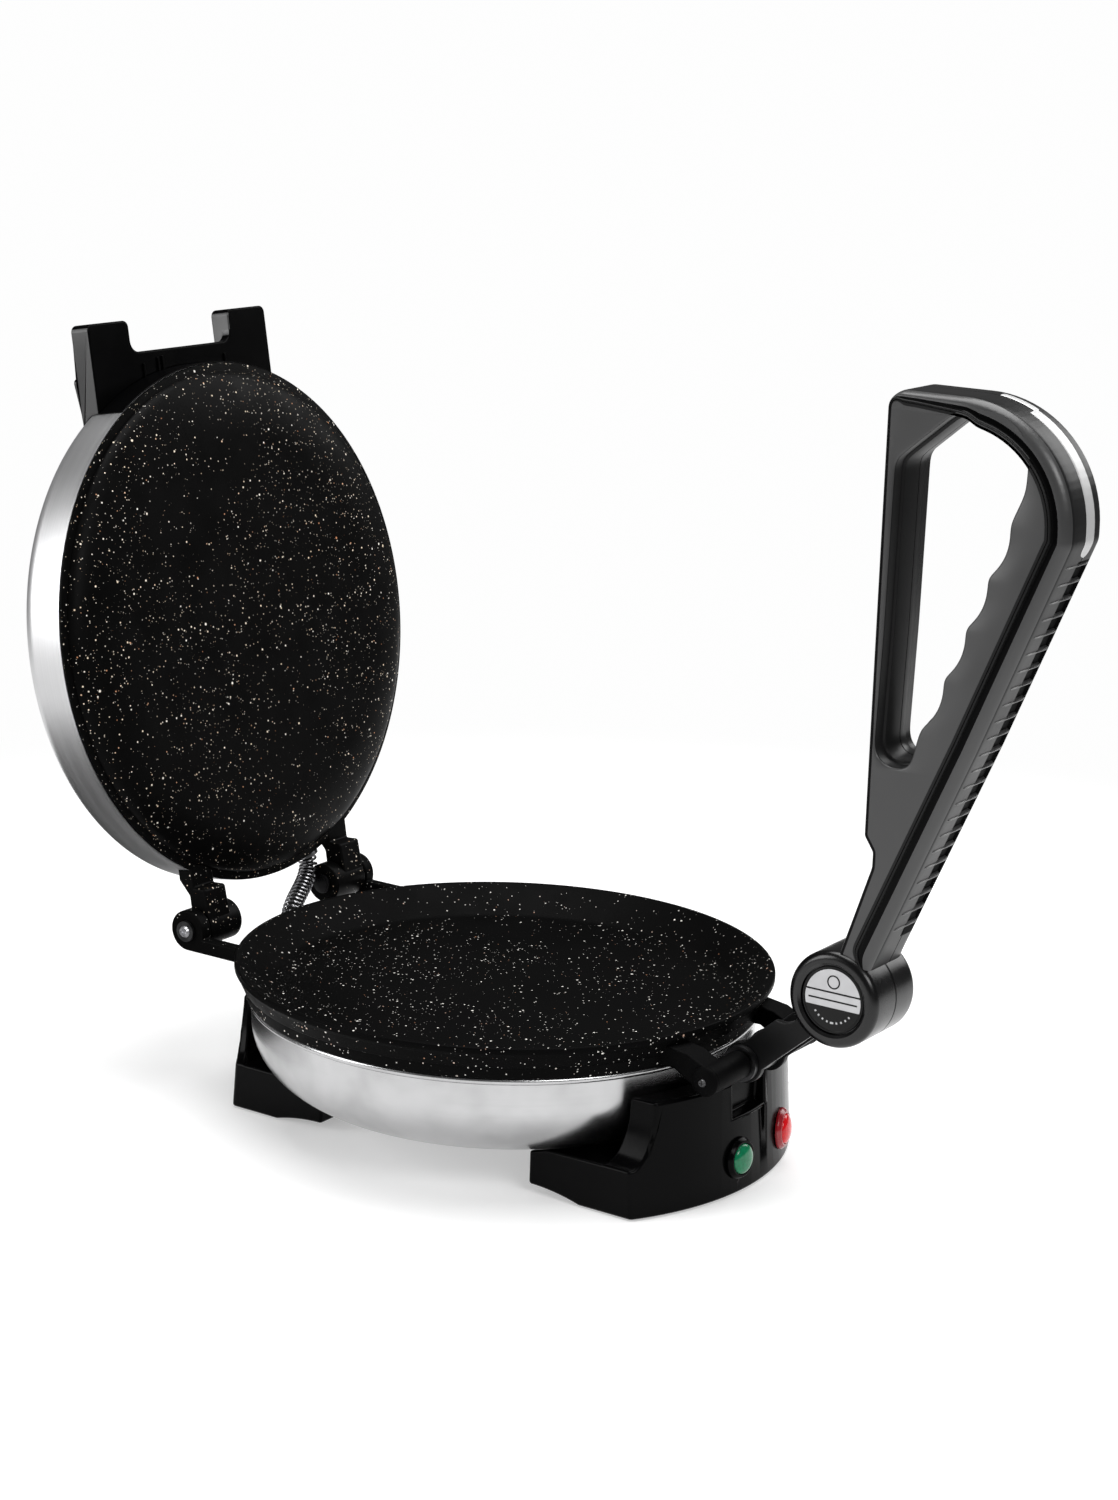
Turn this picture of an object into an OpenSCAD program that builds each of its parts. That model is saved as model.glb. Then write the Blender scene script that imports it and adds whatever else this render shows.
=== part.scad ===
// Electric flatbread press: a dish and a lid with heated plates, pressed together by a hinged lever.
// Height is +Z, the hinge lies along X at the rear (+Y), the lever stands at the front (-Y).
// Every sub-part is placed around the axis of the dish, then the whole is centred over the countertop.

/* [Lower plate] */
// Outer radius of the dish at its rim
rim_r = 116; // [110:0.5:120]
// Height of the rim above the countertop
rim_z = 73; // [71:0.5:76]
// Width of the flared wall between the flat floor and the rim
flare_w = 17.5; // [14:0.5:20]
// Depth of the dish
dish_depth = 11.5; // [9:0.5:13]
// Thickness of the plate's floor
plate_t = 5; // [4:0.25:6.5]
// Width of the flat lip on the rim
lip_w = 2.2; // [1.5:0.1:4]

/* [Bowl] */
// How far the steel bowl's wall stands in from the rim
bowl_set = 7.5; // [7:0.25:12]
// Height of the bowl's flat bottom
bowl_floor_z = 17.5; // [14:0.5:22]
// Width of the bowl's rounded flank
bowl_flank = 33.5; // [24:0.5:44]
// Thickness of the pressed sheet
sheet_t = 1; // [0.7:0.1:1.5]
// Radius of the rolled rim's bead
bead_r = 1.6; // [1.2:0.1:2]

/* [Feet] */
// Width of each foot at the countertop
foot_w = 126; // [110:1:134]
// How far the front foot stands out past the rim
front_out = 11; // [9:0.5:13]
// How far the rear foot's outer arc stands in from the hinge axis
rear_in = 9; // [7:0.5:11]
// Height of the feet's walls
foot_h = 48; // [44:0.5:48.5]
// Radius of the feet's outer arcs
foot_arc_r = 114.5; // [105:0.5:125]
// Height of the low ledge at the sides of the feet
ledge_h = 21; // [17:0.5:25]
// Depth of the front foot, from its outer arc to its inner ends
front_depth = 69; // [60:1:76]
// Depth of the rear foot, from its outer arc to its inner ends
rear_depth = 68; // [54:1:74]
// How far the wall's ends lean in between ledge and top
end_lean = 11; // [6:0.5:14]
// Thickness of the feet's moulded walls
foot_t = 3; // [2:0.25:4]
// Width of the notch that clears the lever's arms
notch_w = 25; // [24.5:0.5:30]
// Height of the notch's bottom
notch_z = 33; // [28:0.5:38]
// Radius of the rubber pads
pad_r = 7; // [5:0.25:8.5]

/* [Lamps] */
// Distance of the green lamp from the middle
green_x = -9.5; // [-14:0.5:-8]
// Distance of the red lamp from the middle
red_x = 31; // [22:0.5:38]
// Height of the lamps' centres
lamp_z = 15.5; // [14:0.5:20]
// Radius of the lamps' round frames
bezel_r = 8.8; // [7.5:0.1:10]
// Radius of the lamps' lenses
lens_r = 6.3; // [5:0.1:6.8]

/* [Hinge] */
// How far the hinge axis lies behind the rim
hinge_out = 11; // [10.5:0.5:14]
// Height of the hinge axis
hinge_z = 74.5; // [74:0.5:76]
// Half the distance between the outer faces of the hinge arms
hinge_x = 61; // [58:0.5:64]
// Thickness of the fixed hinge arms
arm_t = 6; // [5:0.25:7.5]
// Radius of the round hinge ends
knuckle_r = 9; // [8:0.25:10]
// Length of the lid's hinge barrels
barrel_l = 20.5; // [16:0.5:24]
// Width of the lid's hinge arms
lid_arm_w = 14; // [11:0.5:15]
// Radius of the hinge pins
pin_r = 3.5; // [3:0.1:4]
// Angle by which the lid stands open at rest
lid_open = 99.7; // [90:0.1:104]

/* [Lid] */
// How far the lid's steel shell stands in from the rim
lid_set = 1; // [0:0.25:3]
// Height of the lid, from its seat to its flat top
lid_h = 24.5; // [22:0.5:28]
// Radius of the shell's rounded upper edge
lid_round = 8; // [5:0.5:12]
// Gap left between the two plates' cooking faces
press_gap = 3; // [1.5:0.25:4.5]
// Width of the upper plate's sloping edge, outside its flat middle
crown_in = 33; // [27:1:41]

/* [Fork on the lid] */
// Overall width of the fork
fork_w = 118; // [108:1:124]
// Width of the gap between its prongs
fork_gap = 66; // [56:1:72]
// How far the prongs stand out from the lid's shell
prong_out = 22.5; // [18:0.5:25]
// How far the bridge stands out from the lid's shell
bridge_out = 8.5; // [5:0.5:9.5]
// Height of the fork's underside over the lid's seat
fork_z = 14.7; // [12:0.5:16]
// Thickness of the prongs
prong_t = 10.3; // [8:0.25:12]
// Thickness of the bridge that the lever presses
bridge_t = 4.7; // [3:0.1:4.8]

/* [Lever] */
// How far the lever's pivot lies in front of the rim
pivot_out = 10.5; // [10:0.5:13]
// Height of the lever's pivot
pivot_z = 57.5; // [57:0.25:58]
// Distance from the pivot to the middle of the hub
arm_l = 56; // [55.5:0.25:57]
// Tilt of the lever's arms from upright at rest
lever_tilt = 48.8; // [44:0.1:52]
// Angle between the arms and the handle's straight side
handle_lean = 48.8; // [42:0.1:52]
// Width of the arms' flat bars
bar_w = 13.5; // [11:0.25:15]
// Thickness of each arm
bar_t = 3; // [2:0.25:4]
// Distance between the outer faces of the two arms
yoke_w = 22; // [20:0.5:24]
// Radius of the lever's pivot pin
pivot_r = 4; // [3:0.1:4.5]
// Distance between the outer faces of the lever's ears
ear_span = 80; // [70:1:90]
// Radius of the lever's ears
ear_r = 8; // [7.5:0.1:8.4]
// Radius of the hub
hub_r = 20; // [18:0.25:20]
// Length of the hub
hub_l = 34; // [30:0.5:38]
// Radius of the caps in the hub's ends
cap_r = 14; // [12:0.25:16]

/* [Handle] */
// Thickness of the handle across its two halves
grip_w = 27; // [24:0.5:29]
// Height of the handle over the hub's middle
grip_h = 243; // [230:1:255]
// Reach of the handle's back from its straight side
grip_reach = 78; // [70:1:84]
// Radius of the large curve over the grip
grip_curve = 48; // [40:1:52]
// Distance of the straight side from the hub's middle
grip_side = 10.4; // [8:0.2:13]
// Thickness of the straight side
side_t = 3.6; // [3:0.2:5]
// Pitch of the finger hollows
finger_pitch = 21.9; // [20:0.1:23]
// Depth of the finger hollows
finger_depth = 3.2; // [2:0.1:4]
// Number of grooves across the grip's back
groove_count = 22; // [14:1:24]
// Pitch of those grooves
groove_pitch = 7; // [6:0.1:8]
// Width of the bright strip let into the grip
trim_w = 8; // [5:0.5:11]
// Radius of the hub's bolt
hub_bolt_r = 3; // [2.5:0.1:4]

/* [Sprung sleeve] */
// Outer radius of the sleeve's coil
coil_r = 4.4; // [3.8:0.1:5]
// Radius of the coil's wire
wire_r = 0.6; // [0.5:0.05:0.65]
// Number of curls
curls = 18; // [14:1:18]
// Distance of the sleeve's lower end from the middle
sleeve_x = 5; // [2:0.5:9]
// Distance of the sleeve's upper end from the middle
sleeve_top_x = 31; // [26:0.5:34]
// Radius of the cable inside it
cable_r = 2.4; // [1.8:0.1:2.8]

/* [Fits] */
// Clearance of a pin or bolt in its bore
fit = 0.05; // [0.03:0.01:0.08]
// Gap between seated pieces
seat = 0.2; // [0.1:0.05:0.3]
// Gap between pieces that move past each other
run = 0.5; // [0.4:0.05:0.8]
// Radius of the cord outlet
cord_r = 4; // [3:0.1:4.5]

/* [Hidden] */
$fn = 96;

black_cast = [0.09, 0.09, 0.09];
steel = [0.78, 0.78, 0.79];
black_gloss = [0.06, 0.06, 0.065];
black_satin = [0.14, 0.14, 0.145];
zinc = [0.62, 0.63, 0.65];
rubber = [0.1, 0.1, 0.1];

bowl_r = rim_r - bowl_set;
bowl_floor_r = bowl_r - bowl_flank;
lid_r = rim_r - lid_set;
hinge_y = rim_r + hinge_out;
front_reach = rim_r + front_out;
rear_reach = hinge_y - rear_in;
front_inner_y = front_reach - front_depth;
rear_inner_y = rear_reach - rear_depth;
crown_r = lid_r - crown_in;
fork_reach = lid_r + prong_out;
bridge_reach = lid_r + bridge_out;
pivot_reach = rim_r + pivot_out;
floor_r = rim_r - flare_w;
floor_z = rim_z - dish_depth;
under_z = floor_z - plate_t;
skirt_r = bowl_r + bead_r + 1;
skirt_z = under_z + 2;
lip_h = 2.5;
bowl_top = skirt_z - seat;
lid_z = rim_z + 0.3;
lid_top = lid_z + lid_h;
crown_z = floor_z + press_gap;
pivot_y = -pivot_reach;
element_r = 3.5;
element_ring = floor_r - 26.5;
heater_z = under_z - seat - element_r;
shield_r = bowl_r - 16.5;
shield_z = heater_z - element_r - 6;
eps = 0.01;
fork_base = lid_z + fork_z;
bolt_r = 3;
rest_turn = lever_tilt - handle_lean;

// Where the lid's points lie when it stands open
function open_y(y, z) = hinge_y + (y - hinge_y) * cos(lid_open) + (z - hinge_z) * sin(lid_open);
function open_z(y, z) = hinge_z - (y - hinge_y) * sin(lid_open) + (z - hinge_z) * cos(lid_open);

// The part's reach to the front and to the rear sets its middle
hub_y = pivot_y - arm_l * sin(lever_tilt);
curve_out = grip_side + grip_reach - grip_curve;
curve_up = grip_h - grip_curve;
front_y = hub_y - curve_out * cos(rest_turn) - curve_up * sin(rest_turn) - grip_curve;
rear_y = open_y(-fork_reach, fork_base + prong_t);
shift_y = -(front_y + rear_y) / 2;

function unit(v) = v / norm(v);
function ground(a) = a > 180 ? a - 360 : a < -180 ? a + 360 : a;

// Points of a rounded corner at b, between a and c
function corner(a, b, c, r, n) =
  let (
    d0 = unit([a.x - b.x, a.y - b.y]),
    d1 = unit([c.x - b.x, c.y - b.y]),
    half = acos(d0 * d1) / 2,
    q0 = [b.x, b.y] + d0 * r / tan(half),
    q1 = [b.x, b.y] + d1 * r / tan(half),
    m = [b.x, b.y] + unit(d0 + d1) * r / sin(half),
    a0 = atan2(q0.y - m.y, q0.x - m.x),
    a1 = atan2(q1.y - m.y, q1.x - m.x),
    turn = ground(a1 - a0)
  )
  r < eps ? [[b.x, b.y]] : [for (i = [0:n]) m + r * [cos(a0 + turn * i / n), sin(a0 + turn * i / n)]];

// An outline from corners [x, y, radius], with n steps around each
function rounded(p, n = 6) = [
  for (i = [0:len(p) - 1])
    each corner(p[(i + len(p) - 1) % len(p)], p[i], p[(i + 1) % len(p)], p[i][2], n)
];

// Lays a drawing of (y, z) across the part, from x0 to x1
module slab(x0, x1) {
  translate([x0, 0, 0]) rotate([90, 0, 90]) linear_extrude(x1 - x0) children();
}

module rod(r, x0, x1) {
  translate([x0, 0, 0]) rotate([0, 90, 0]) cylinder(r = r, h = x1 - x0);
}

module both_sides() {
  children();
  mirror([1, 0, 0]) children();
}

module placed() {
  translate([0, shift_y, 0]) children();
}

module on_lid() {
  placed() translate([0, hinge_y, hinge_z]) rotate([-lid_open, 0, 0])
    translate([0, -hinge_y, -hinge_z]) children();
}

module on_lever() {
  placed() translate([0, pivot_y, pivot_z]) rotate([lever_tilt, 0, 0]) children();
}

module on_hub() {
  on_lever() translate([0, 0, arm_l]) rotate([-handle_lean, 0, 0]) children();
}

// The dish's hollow, from its floor upwards
module dish_hollow() {
  rotate_extrude() polygon([[0, floor_z], [floor_r, floor_z], [rim_r - lip_w, rim_z],
    [rim_r - lip_w, rim_z + 40], [0, rim_z + 40]]);
}

module dish() {
  wall = 3.2;
  rotate_extrude() polygon([[0, under_z], [floor_r - 1, under_z], [rim_r - wall - 4, rim_z - 6.5],
    [skirt_r - wall, skirt_z + 4], [skirt_r - wall, skirt_z], [skirt_r, skirt_z], [skirt_r + 0.8, skirt_z + 5],
    [skirt_r + 1.6, skirt_z + 5.4], [rim_r - 1, rim_z - lip_h - 1.5], [rim_r, rim_z - lip_h], [rim_r, rim_z - 0.8],
    [rim_r - 0.8, rim_z], [rim_r - lip_w, rim_z], [floor_r, floor_z], [0, floor_z]]);
}

// The fixed half of the hinge on one side
module hinge_arm() {
  bar_low = hinge_z - knuckle_r;
  root_y = sqrt(skirt_r * skirt_r - hinge_x * hinge_x) + 1.14;
  slab(-hinge_x, -hinge_x + arm_t) {
    polygon([[root_y, bar_low], [hinge_y, bar_low], [hinge_y, rim_z - 1], [root_y, rim_z - 1]]);
    translate([hinge_y, hinge_z]) circle(r = knuckle_r);
  }
}

// One ear of the lever's pivot, with its long barrel
module lever_ear() {
  root_y = -skirt_r + 8;
  plate_x = 12;
  slab(-ear_span / 2, -ear_span / 2 + plate_x)
    polygon([[root_y, skirt_z + 1], [root_y, rim_z - lip_h - 1], [pivot_y + 9, pivot_z + ear_r + 1.5],
      [pivot_y, pivot_z + ear_r], [pivot_y + ear_r * 0.7, pivot_z - ear_r * 0.7], [-skirt_r, skirt_z + 1]]);
  translate([0, pivot_y, pivot_z]) rod(ear_r, -ear_span / 2, -yoke_w / 2 - 3.2);
}

module lower_plate() {
  color(black_cast) placed() difference() {
    union() {
      dish();
      difference() {
        both_sides() {
          hinge_arm();
          lever_ear();
        }
        dish_hollow();
        translate([0, 0, under_z]) cylinder(r = floor_r, h = plate_t);
      }
    }
    translate([0, hinge_y, hinge_z]) rod(pin_r + fit, -hinge_x - 1, hinge_x + 1);
    translate([0, pivot_y, pivot_z]) rod(pivot_r + fit, -ear_span, ear_span);
    cylinder(r = bolt_r + fit, h = floor_z - 2);
  }
}

// A tubular element bent to an open ring, with its two ends turned away from the plate
module element(z, way) {
  sweep = 320;
  end_h = 9;
  rotate_extrude(angle = sweep, start = 290) translate([element_ring, z]) circle(r = element_r, $fn = 24);
  for (s = [-1, 1])
    rotate(270 + s * 23) translate([element_ring, 0, z]) rotate([way > 0 ? 0 : 180, 0, 0]) {
      cylinder(r = element_r - 0.5, h = end_h);
      cylinder(r = 1.2, h = end_h + 6);
    }
}

module lower_heater() {
  color(zinc) placed() element(heater_z, -1);
}

// A pressed heat shield, open where the element's ends and the bolt pass
module shield(z, bore) {
  difference() {
    rotate_extrude() polygon([[0, z], [shield_r, z], [shield_r, z + 4], [shield_r - sheet_t, z + 4],
      [shield_r - sheet_t, z + sheet_t], [0, z + sheet_t]]);
    translate([0, 0, z - 1]) cylinder(r = bore, h = 4);
    for (a = [293, 247]) rotate(a) translate([element_ring, 0, z - 1]) cylinder(r = element_r + 1, h = 4);
  }
}

module lower_shield() {
  color(zinc) placed() shield(shield_z, bolt_r + seat);
}

// A disc thermostat held under the plate, on a spacer that rests on the shield
thermostat_x = 34;
module thermostat() {
  body_h = 9;
  color([0.85, 0.84, 0.8]) placed() translate([thermostat_x, 0, 0]) {
    translate([0, 0, under_z - seat - body_h]) cylinder(r = 8, h = body_h);
    translate([0, 0, shield_z + sheet_t + seat]) cylinder(r = 4, h = under_z - seat - body_h - shield_z - sheet_t - seat);
    for (s = [-1, 1]) translate([-3, s * 10 - 1, under_z - seat - body_h + 2]) cube([6, 2, 0.8]);
    translate([-3, -10, under_z - seat - body_h + 2]) cube([6, 20, 0.8]);
  }
}

// Height of the bowl's outside at radius r
bowl_rise = 30;
function bowl_z(r) = r <= bowl_floor_r ? bowl_floor_z :
  bowl_floor_z + bowl_rise * (1 - sqrt(max(0, 1 - pow((r - bowl_floor_r) / (bowl_r - bowl_floor_r), 2))));

// The bowl's outside, grown by g, as points from the middle of its bottom to its rim
function bowl_outline(g) = [
  [0, bowl_floor_z - g],
  for (i = [0:14]) let (a = 90 * i / 14)
    [bowl_floor_r + (bowl_r - bowl_floor_r + g) * sin(a), bowl_floor_z + bowl_rise - (bowl_rise + g) * cos(a)],
  [bowl_r + g, bowl_top]
];

// The bowl as a solid, grown by g, to cut seats for it
module bowl_body(g) {
  rotate_extrude() polygon([each bowl_outline(g), [bowl_r + g, rim_z], [0, rim_z]]);
  rotate_extrude() polygon([[0, bowl_top - 3 * bead_r], [bowl_r + 2 * bead_r + g, bowl_top - 3 * bead_r],
    [bowl_r + 2 * bead_r + g, rim_z + 10], [0, rim_z + 10]]);
}

module base_bowl() {
  inner = bowl_outline(-sheet_t);
  color(steel) placed() difference() {
    union() {
      rotate_extrude() polygon([each bowl_outline(0), for (i = [len(inner) - 1:-1:0]) inner[i]]);
      translate([0, 0, bowl_top - bead_r]) rotate_extrude() translate([bowl_r, 0]) circle(r = bead_r, $fn = 24);
    }
    translate([0, 0, bowl_floor_z - 1]) cylinder(r = bolt_r + fit, h = 4);
    for (sx = [-1, 1], sy = [-1, 1])
      translate([sx * foot_screw_x, sy * foot_screw_y, bowl_floor_z - 5]) cylinder(r = 2, h = 20);
    wire_entry();
  }
}

module bowl_bolt() {
  head_h = 3;
  spacer_r = 5.5;
  color(zinc) placed() {
    translate([0, 0, bowl_floor_z - head_h - seat]) cylinder(r = 5.5, h = head_h, $fn = 6);
    translate([0, 0, bowl_floor_z - head_h - seat]) cylinder(r = bolt_r, h = floor_z - 3 - bowl_floor_z + head_h);
    translate([0, 0, bowl_floor_z + sheet_t + seat])
      cylinder(r = spacer_r, h = shield_z - bowl_floor_z - sheet_t - 2 * seat);
    translate([0, 0, shield_z + sheet_t + seat])
      cylinder(r = spacer_r, h = under_z - shield_z - sheet_t - 2 * seat);
  }
}

block_y = 40;
block_l = 44;
block_h = 13;
module terminal_block() {
  block_w = 15;
  low = bowl_floor_z + sheet_t + seat;
  color([0.9, 0.88, 0.82]) placed() difference() {
    translate([-block_l / 2, block_y - block_w / 2, low]) cube([block_l, block_w, block_h]);
    for (i = [-1, 0, 1]) {
      translate([i * 14, block_y, low + 4]) cylinder(r = 2.4, h = block_h);
      translate([i * 14, block_y - block_w, low + 6]) rotate([-90, 0, 0]) cylinder(r = 1.9, h = 2 * block_w);
    }
  }
}

// A smooth path between two ends, leaving each along its own direction
function bend(p0, d0, p1, d1, t) =
  pow(1 - t, 3) * p0 + 3 * pow(1 - t, 2) * t * (p0 + d0) + 3 * (1 - t) * t * t * (p1 + d1) + pow(t, 3) * p1;

// A round tube through points, as one closed mesh
module tube(p, r, sides) {
  n = len(p);
  rings = [for (i = [0:n - 1])
    let (
      ahead = unit(p[min(i + 1, n - 1)] - p[max(i - 1, 0)]),
      e1 = unit(cross(ahead, [0.31, 0.95, 0.03])),
      e2 = cross(ahead, e1)
    )
    for (k = [0:sides - 1]) p[i] + r * (cos(360 * k / sides) * e1 + sin(360 * k / sides) * e2)];
  tube_mesh(rings, n, sides);
}

module tube_mesh(rings, n, sides) {
  walls = [for (i = [0:n - 2], k = [0:sides - 1])
    let (a = i * sides + k, b = i * sides + (k + 1) % sides)
    each [[a, b, a + sides], [b, b + sides, a + sides]]];
  first = [for (k = [1:sides - 2]) [0, k + 1, k]];
  last = [for (k = [1:sides - 2]) [(n - 1) * sides, (n - 1) * sides + k, (n - 1) * sides + k + 1]];
  polyhedron([for (q = rings) q], [each walls, each first, each last]);
}

// Leads from the terminal block to the element's two ends and to the lamps
lead_r = 1.3;
module base_leads() {
  low = bowl_floor_z + sheet_t + seat + 6;
  tip_z = heater_z - 15 - 2 * seat;
  color([0.85, 0.82, 0.75]) placed() {
    for (s = [-1, 1]) {
      tip = [element_ring * cos(270 + s * 23), element_ring * sin(270 + s * 23), tip_z];
      start = [s * 14, block_y - 8.2, low];
      tube([for (i = [0:10]) bend(start, [0, -20, 0], tip, [0, 0, -14], i / 10)], lead_r, 8);
    }
  }
}

// A moulded foot, drawn for the front: a low tray under the bowl's edge and a tall curved wall
module foot_outside(reach, inner_y, cut) {
  half = foot_w / 2 - cut;
  low = ledge_h - cut;
  top = foot_h - cut;
  side = [for (i = [0:8]) [half - end_lean * sin(90 * i / 8), top - (top - low) * cos(90 * i / 8)]];
  difference() {
    intersection() {
      translate([0, foot_arc_r - reach, 0]) cylinder(r1 = foot_arc_r - cut, r2 = foot_arc_r - cut - 3, h = foot_h);
      translate([0, -inner_y - cut, 0]) rotate([90, 0, 0]) linear_extrude(reach)
        polygon([[-half, -1], [half, -1], each side, for (i = [8:-1:0]) [-side[i].x, side[i].y]]);
    }
    translate([0, 0, low]) cylinder(r = skirt_r + 0.6 + cut, h = foot_h);
  }
}

module foot_body(reach, inner_y) {
  arch = 90;
  difference() {
    foot_outside(reach, inner_y, 0);
    difference() {
      translate([0, 0, -0.5]) foot_outside(reach, inner_y, foot_t);
      for (p = pad_spots(reach)) translate([p.x, p.y, -1]) cylinder(r = pad_r + 2, h = foot_h);
      for (s = [-1, 1]) translate([s * foot_screw_x, -foot_screw_y, -1]) cylinder(r = 5, h = foot_h);
      bowl_body(foot_t + 0.3);
      if (reach == front_reach) notch_block(foot_t);
    }
    bowl_body(0.3);
    translate([-foot_w, -reach - 20, -10]) cube([2 * foot_w, 2 * reach, 10 + pad_drop]);
    for (p = pad_spots(reach)) translate([p.x, p.y, -1]) cylinder(r = pad_r + seat, h = 1 + pad_h);
    translate([0, -inner_y, 4 - arch]) rotate([0, 90, 0]) cylinder(r = arch, h = 2 * foot_w, center = true);
    for (s = [-1, 1]) translate([s * foot_screw_x, -foot_screw_y, -1]) {
      cylinder(r = 1.8 + fit, h = 60);
      cylinder(r = 4, h = 1 + screw_head_z + 0.1);
    }
  }
}

pad_drop = 0.6;
pad_h = 3;
function pad_spots(reach) = [
  for (s = [-1, 1]) [s * (foot_w / 2 - pad_r - foot_t), 33 - reach],
  for (s = [-1, 1]) [s * 17, pad_r + 19 - reach]
];

// A pair of screws holds each foot to the bowl's curved flank
foot_screw_x = foot_w / 2 - 25;
foot_screw_y = bowl_r - 32.5;
screw_head_z = bowl_z(norm([foot_screw_x, foot_screw_y])) - 6;

// A lamp's place on the front wall: turned about the wall's own axis
module at_lamp(x) {
  centre_y = -front_reach + foot_arc_r;
  turn = asin(x / foot_arc_r);
  lean = atan(3 / foot_h);
  translate([0, centre_y, 0]) rotate(turn) translate([0, -foot_arc_r + 3 * lamp_z / foot_h, lamp_z])
    rotate([90 - lean, 0, 0]) children();
}

// The notch that clears the lever's arms, or the block around it
module notch_block(g) {
  translate([-notch_w / 2 - g, -front_reach - 5, notch_z - g]) cube([notch_w + 2 * g, 13 + g, foot_h]);
}

module front_foot() {
  color(black_gloss) placed() difference() {
    foot_body(front_reach, front_inner_y);
    notch_block(0);
    for (x = [green_x, red_x]) at_lamp(x) translate([0, 0, -foot_t - 3]) cylinder(r = lens_r + 0.3, h = 20);
  }
}

module rear_foot() {
  color(black_gloss) placed() difference() {
    union() {
      rotate(180) foot_body(rear_reach, rear_inner_y);
      sleeve_spout();
    }
    gland_place() cylinder(r = cord_r + 3.2, h = 30, center = true);
    sleeve_cut();
    wire_entry();
  }
}

module pads(reach) {
  for (p = pad_spots(reach)) translate([p.x, p.y, 0]) {
    cylinder(r1 = pad_r - 0.6, r2 = pad_r, h = 0.6);
    translate([0, 0, 0.6]) cylinder(r = pad_r, h = pad_h - 0.6 - seat);
  }
}

module front_pads() {
  color(rubber) placed() pads(front_reach);
}

module rear_pads() {
  color(rubber) placed() rotate(180) pads(rear_reach);
}

module foot_screws() {
  color(zinc) placed() for (sx = [-1, 1], sy = [-1, 1]) translate([sx * foot_screw_x, sy * foot_screw_y, screw_head_z]) {
    translate([0, 0, -2.2]) cylinder(r = 3.6, h = 2.2);
    cylinder(r = 1.8, h = 11);
  }
}

module bezel(x) {
  proud = 2.6;
  placed() at_lamp(x) rotate_extrude() polygon(rounded([[lens_r + 0.1, -1, 0], [lens_r + 0.2, 0.25, 0],
    [bezel_r, 0.25, 0], [bezel_r, 1.2, 1], [lens_r + 1.4, proud, 1], [lens_r + 0.1, proud, 0.4]], 4));
}

module lens(x) {
  dome = 4.6;
  placed() at_lamp(x) rotate_extrude() polygon([[0, 0], [lens_r, 0],
    for (i = [0:7]) [lens_r * cos(90 * i / 8), 2.2 + (dome - 2.2) * sin(90 * i / 8)],
    [0, 2.2 + (dome - 2.2) * sin(78.75)]]);
}

module green_bezel() {
  color(black_gloss) bezel(green_x);
}

module red_bezel() {
  color([0.55, 0.03, 0.05]) bezel(red_x);
}

module green_lens() {
  color([0.05, 0.55, 0.35]) lens(green_x);
}

module red_lens() {
  color([0.85, 0.05, 0.08]) lens(red_x);
}

module lamp_bodies() {
  body_l = 10;
  color([0.9, 0.9, 0.88]) placed() for (x = [green_x, red_x]) at_lamp(x) {
    translate([0, 0, -body_l]) cylinder(r = lens_r - 0.1, h = body_l - seat);
    translate([0, 0, -foot_t - 3.2]) cylinder(r = lens_r + 1.8, h = 1.4);
  }
}

// The cord's outlet through the rear foot's wall
gland_x = -30;
gland_z = 17;
module gland_place() {
  centre_y = rear_reach - foot_arc_r;
  turn = asin(-gland_x / foot_arc_r);
  translate([0, centre_y, 0]) rotate(turn) translate([0, foot_arc_r - foot_t / 2 - 0.8, gland_z])
    rotate([-90, 0, 0]) children();
}

module cord_gland() {
  flange_r = cord_r + 5;
  shank_r = cord_r + 3;
  color(rubber) placed() gland_place() difference() {
    union() {
      translate([0, 0, -5]) cylinder(r = shank_r, h = 11);
      translate([0, 0, 2.6]) cylinder(r1 = flange_r, r2 = flange_r - 1, h = 3.4);
    }
    translate([0, 0, -6]) cylinder(r = cord_r, h = 13);
  }
}

module hinge_pins() {
  head_t = 1.4;
  end_x = hinge_x - arm_t - run - barrel_l - 1.6;
  color(zinc) placed() translate([0, hinge_y, hinge_z]) both_sides() {
    rod(pin_r, -hinge_x - head_t, -end_x);
    rod(pin_r + 1.1, -hinge_x - head_t - 0.1, -hinge_x - 0.1);
    rod(pin_r + 1, -end_x - 1.2, -end_x - 0.3);
  }
}

module pivot_pin() {
  head_t = 2.6;
  color(zinc) placed() translate([0, pivot_y, pivot_z]) {
    rod(pivot_r, -ear_span / 2 - 1, ear_span / 2 + 1);
    both_sides() translate([-ear_span / 2 - 0.1, 0, 0]) rotate([0, -90, 0])
      rotate_extrude() polygon([[0, 0], [pivot_r + 2.2, 0],
        for (i = [0:7]) [(pivot_r + 2.2) * cos(90 * i / 8), 0.5 + (head_t - 0.5) * sin(90 * i / 8)],
        [0, 0.5 + (head_t - 0.5) * sin(78.75)]]);
  }
}

module pivot_bushes() {
  color(zinc) placed() translate([0, pivot_y, pivot_z]) {
    difference() {
      union() {
        rod(pivot_r + 2.5, -yoke_w / 2 + bar_t + run / 2, yoke_w / 2 - bar_t - run / 2);
        both_sides() rod(pivot_r + 3.5, -yoke_w / 2 - 3, -yoke_w / 2 - run / 2);
      }
      rod(pivot_r + fit, -yoke_w, yoke_w);
    }
  }
}

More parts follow.
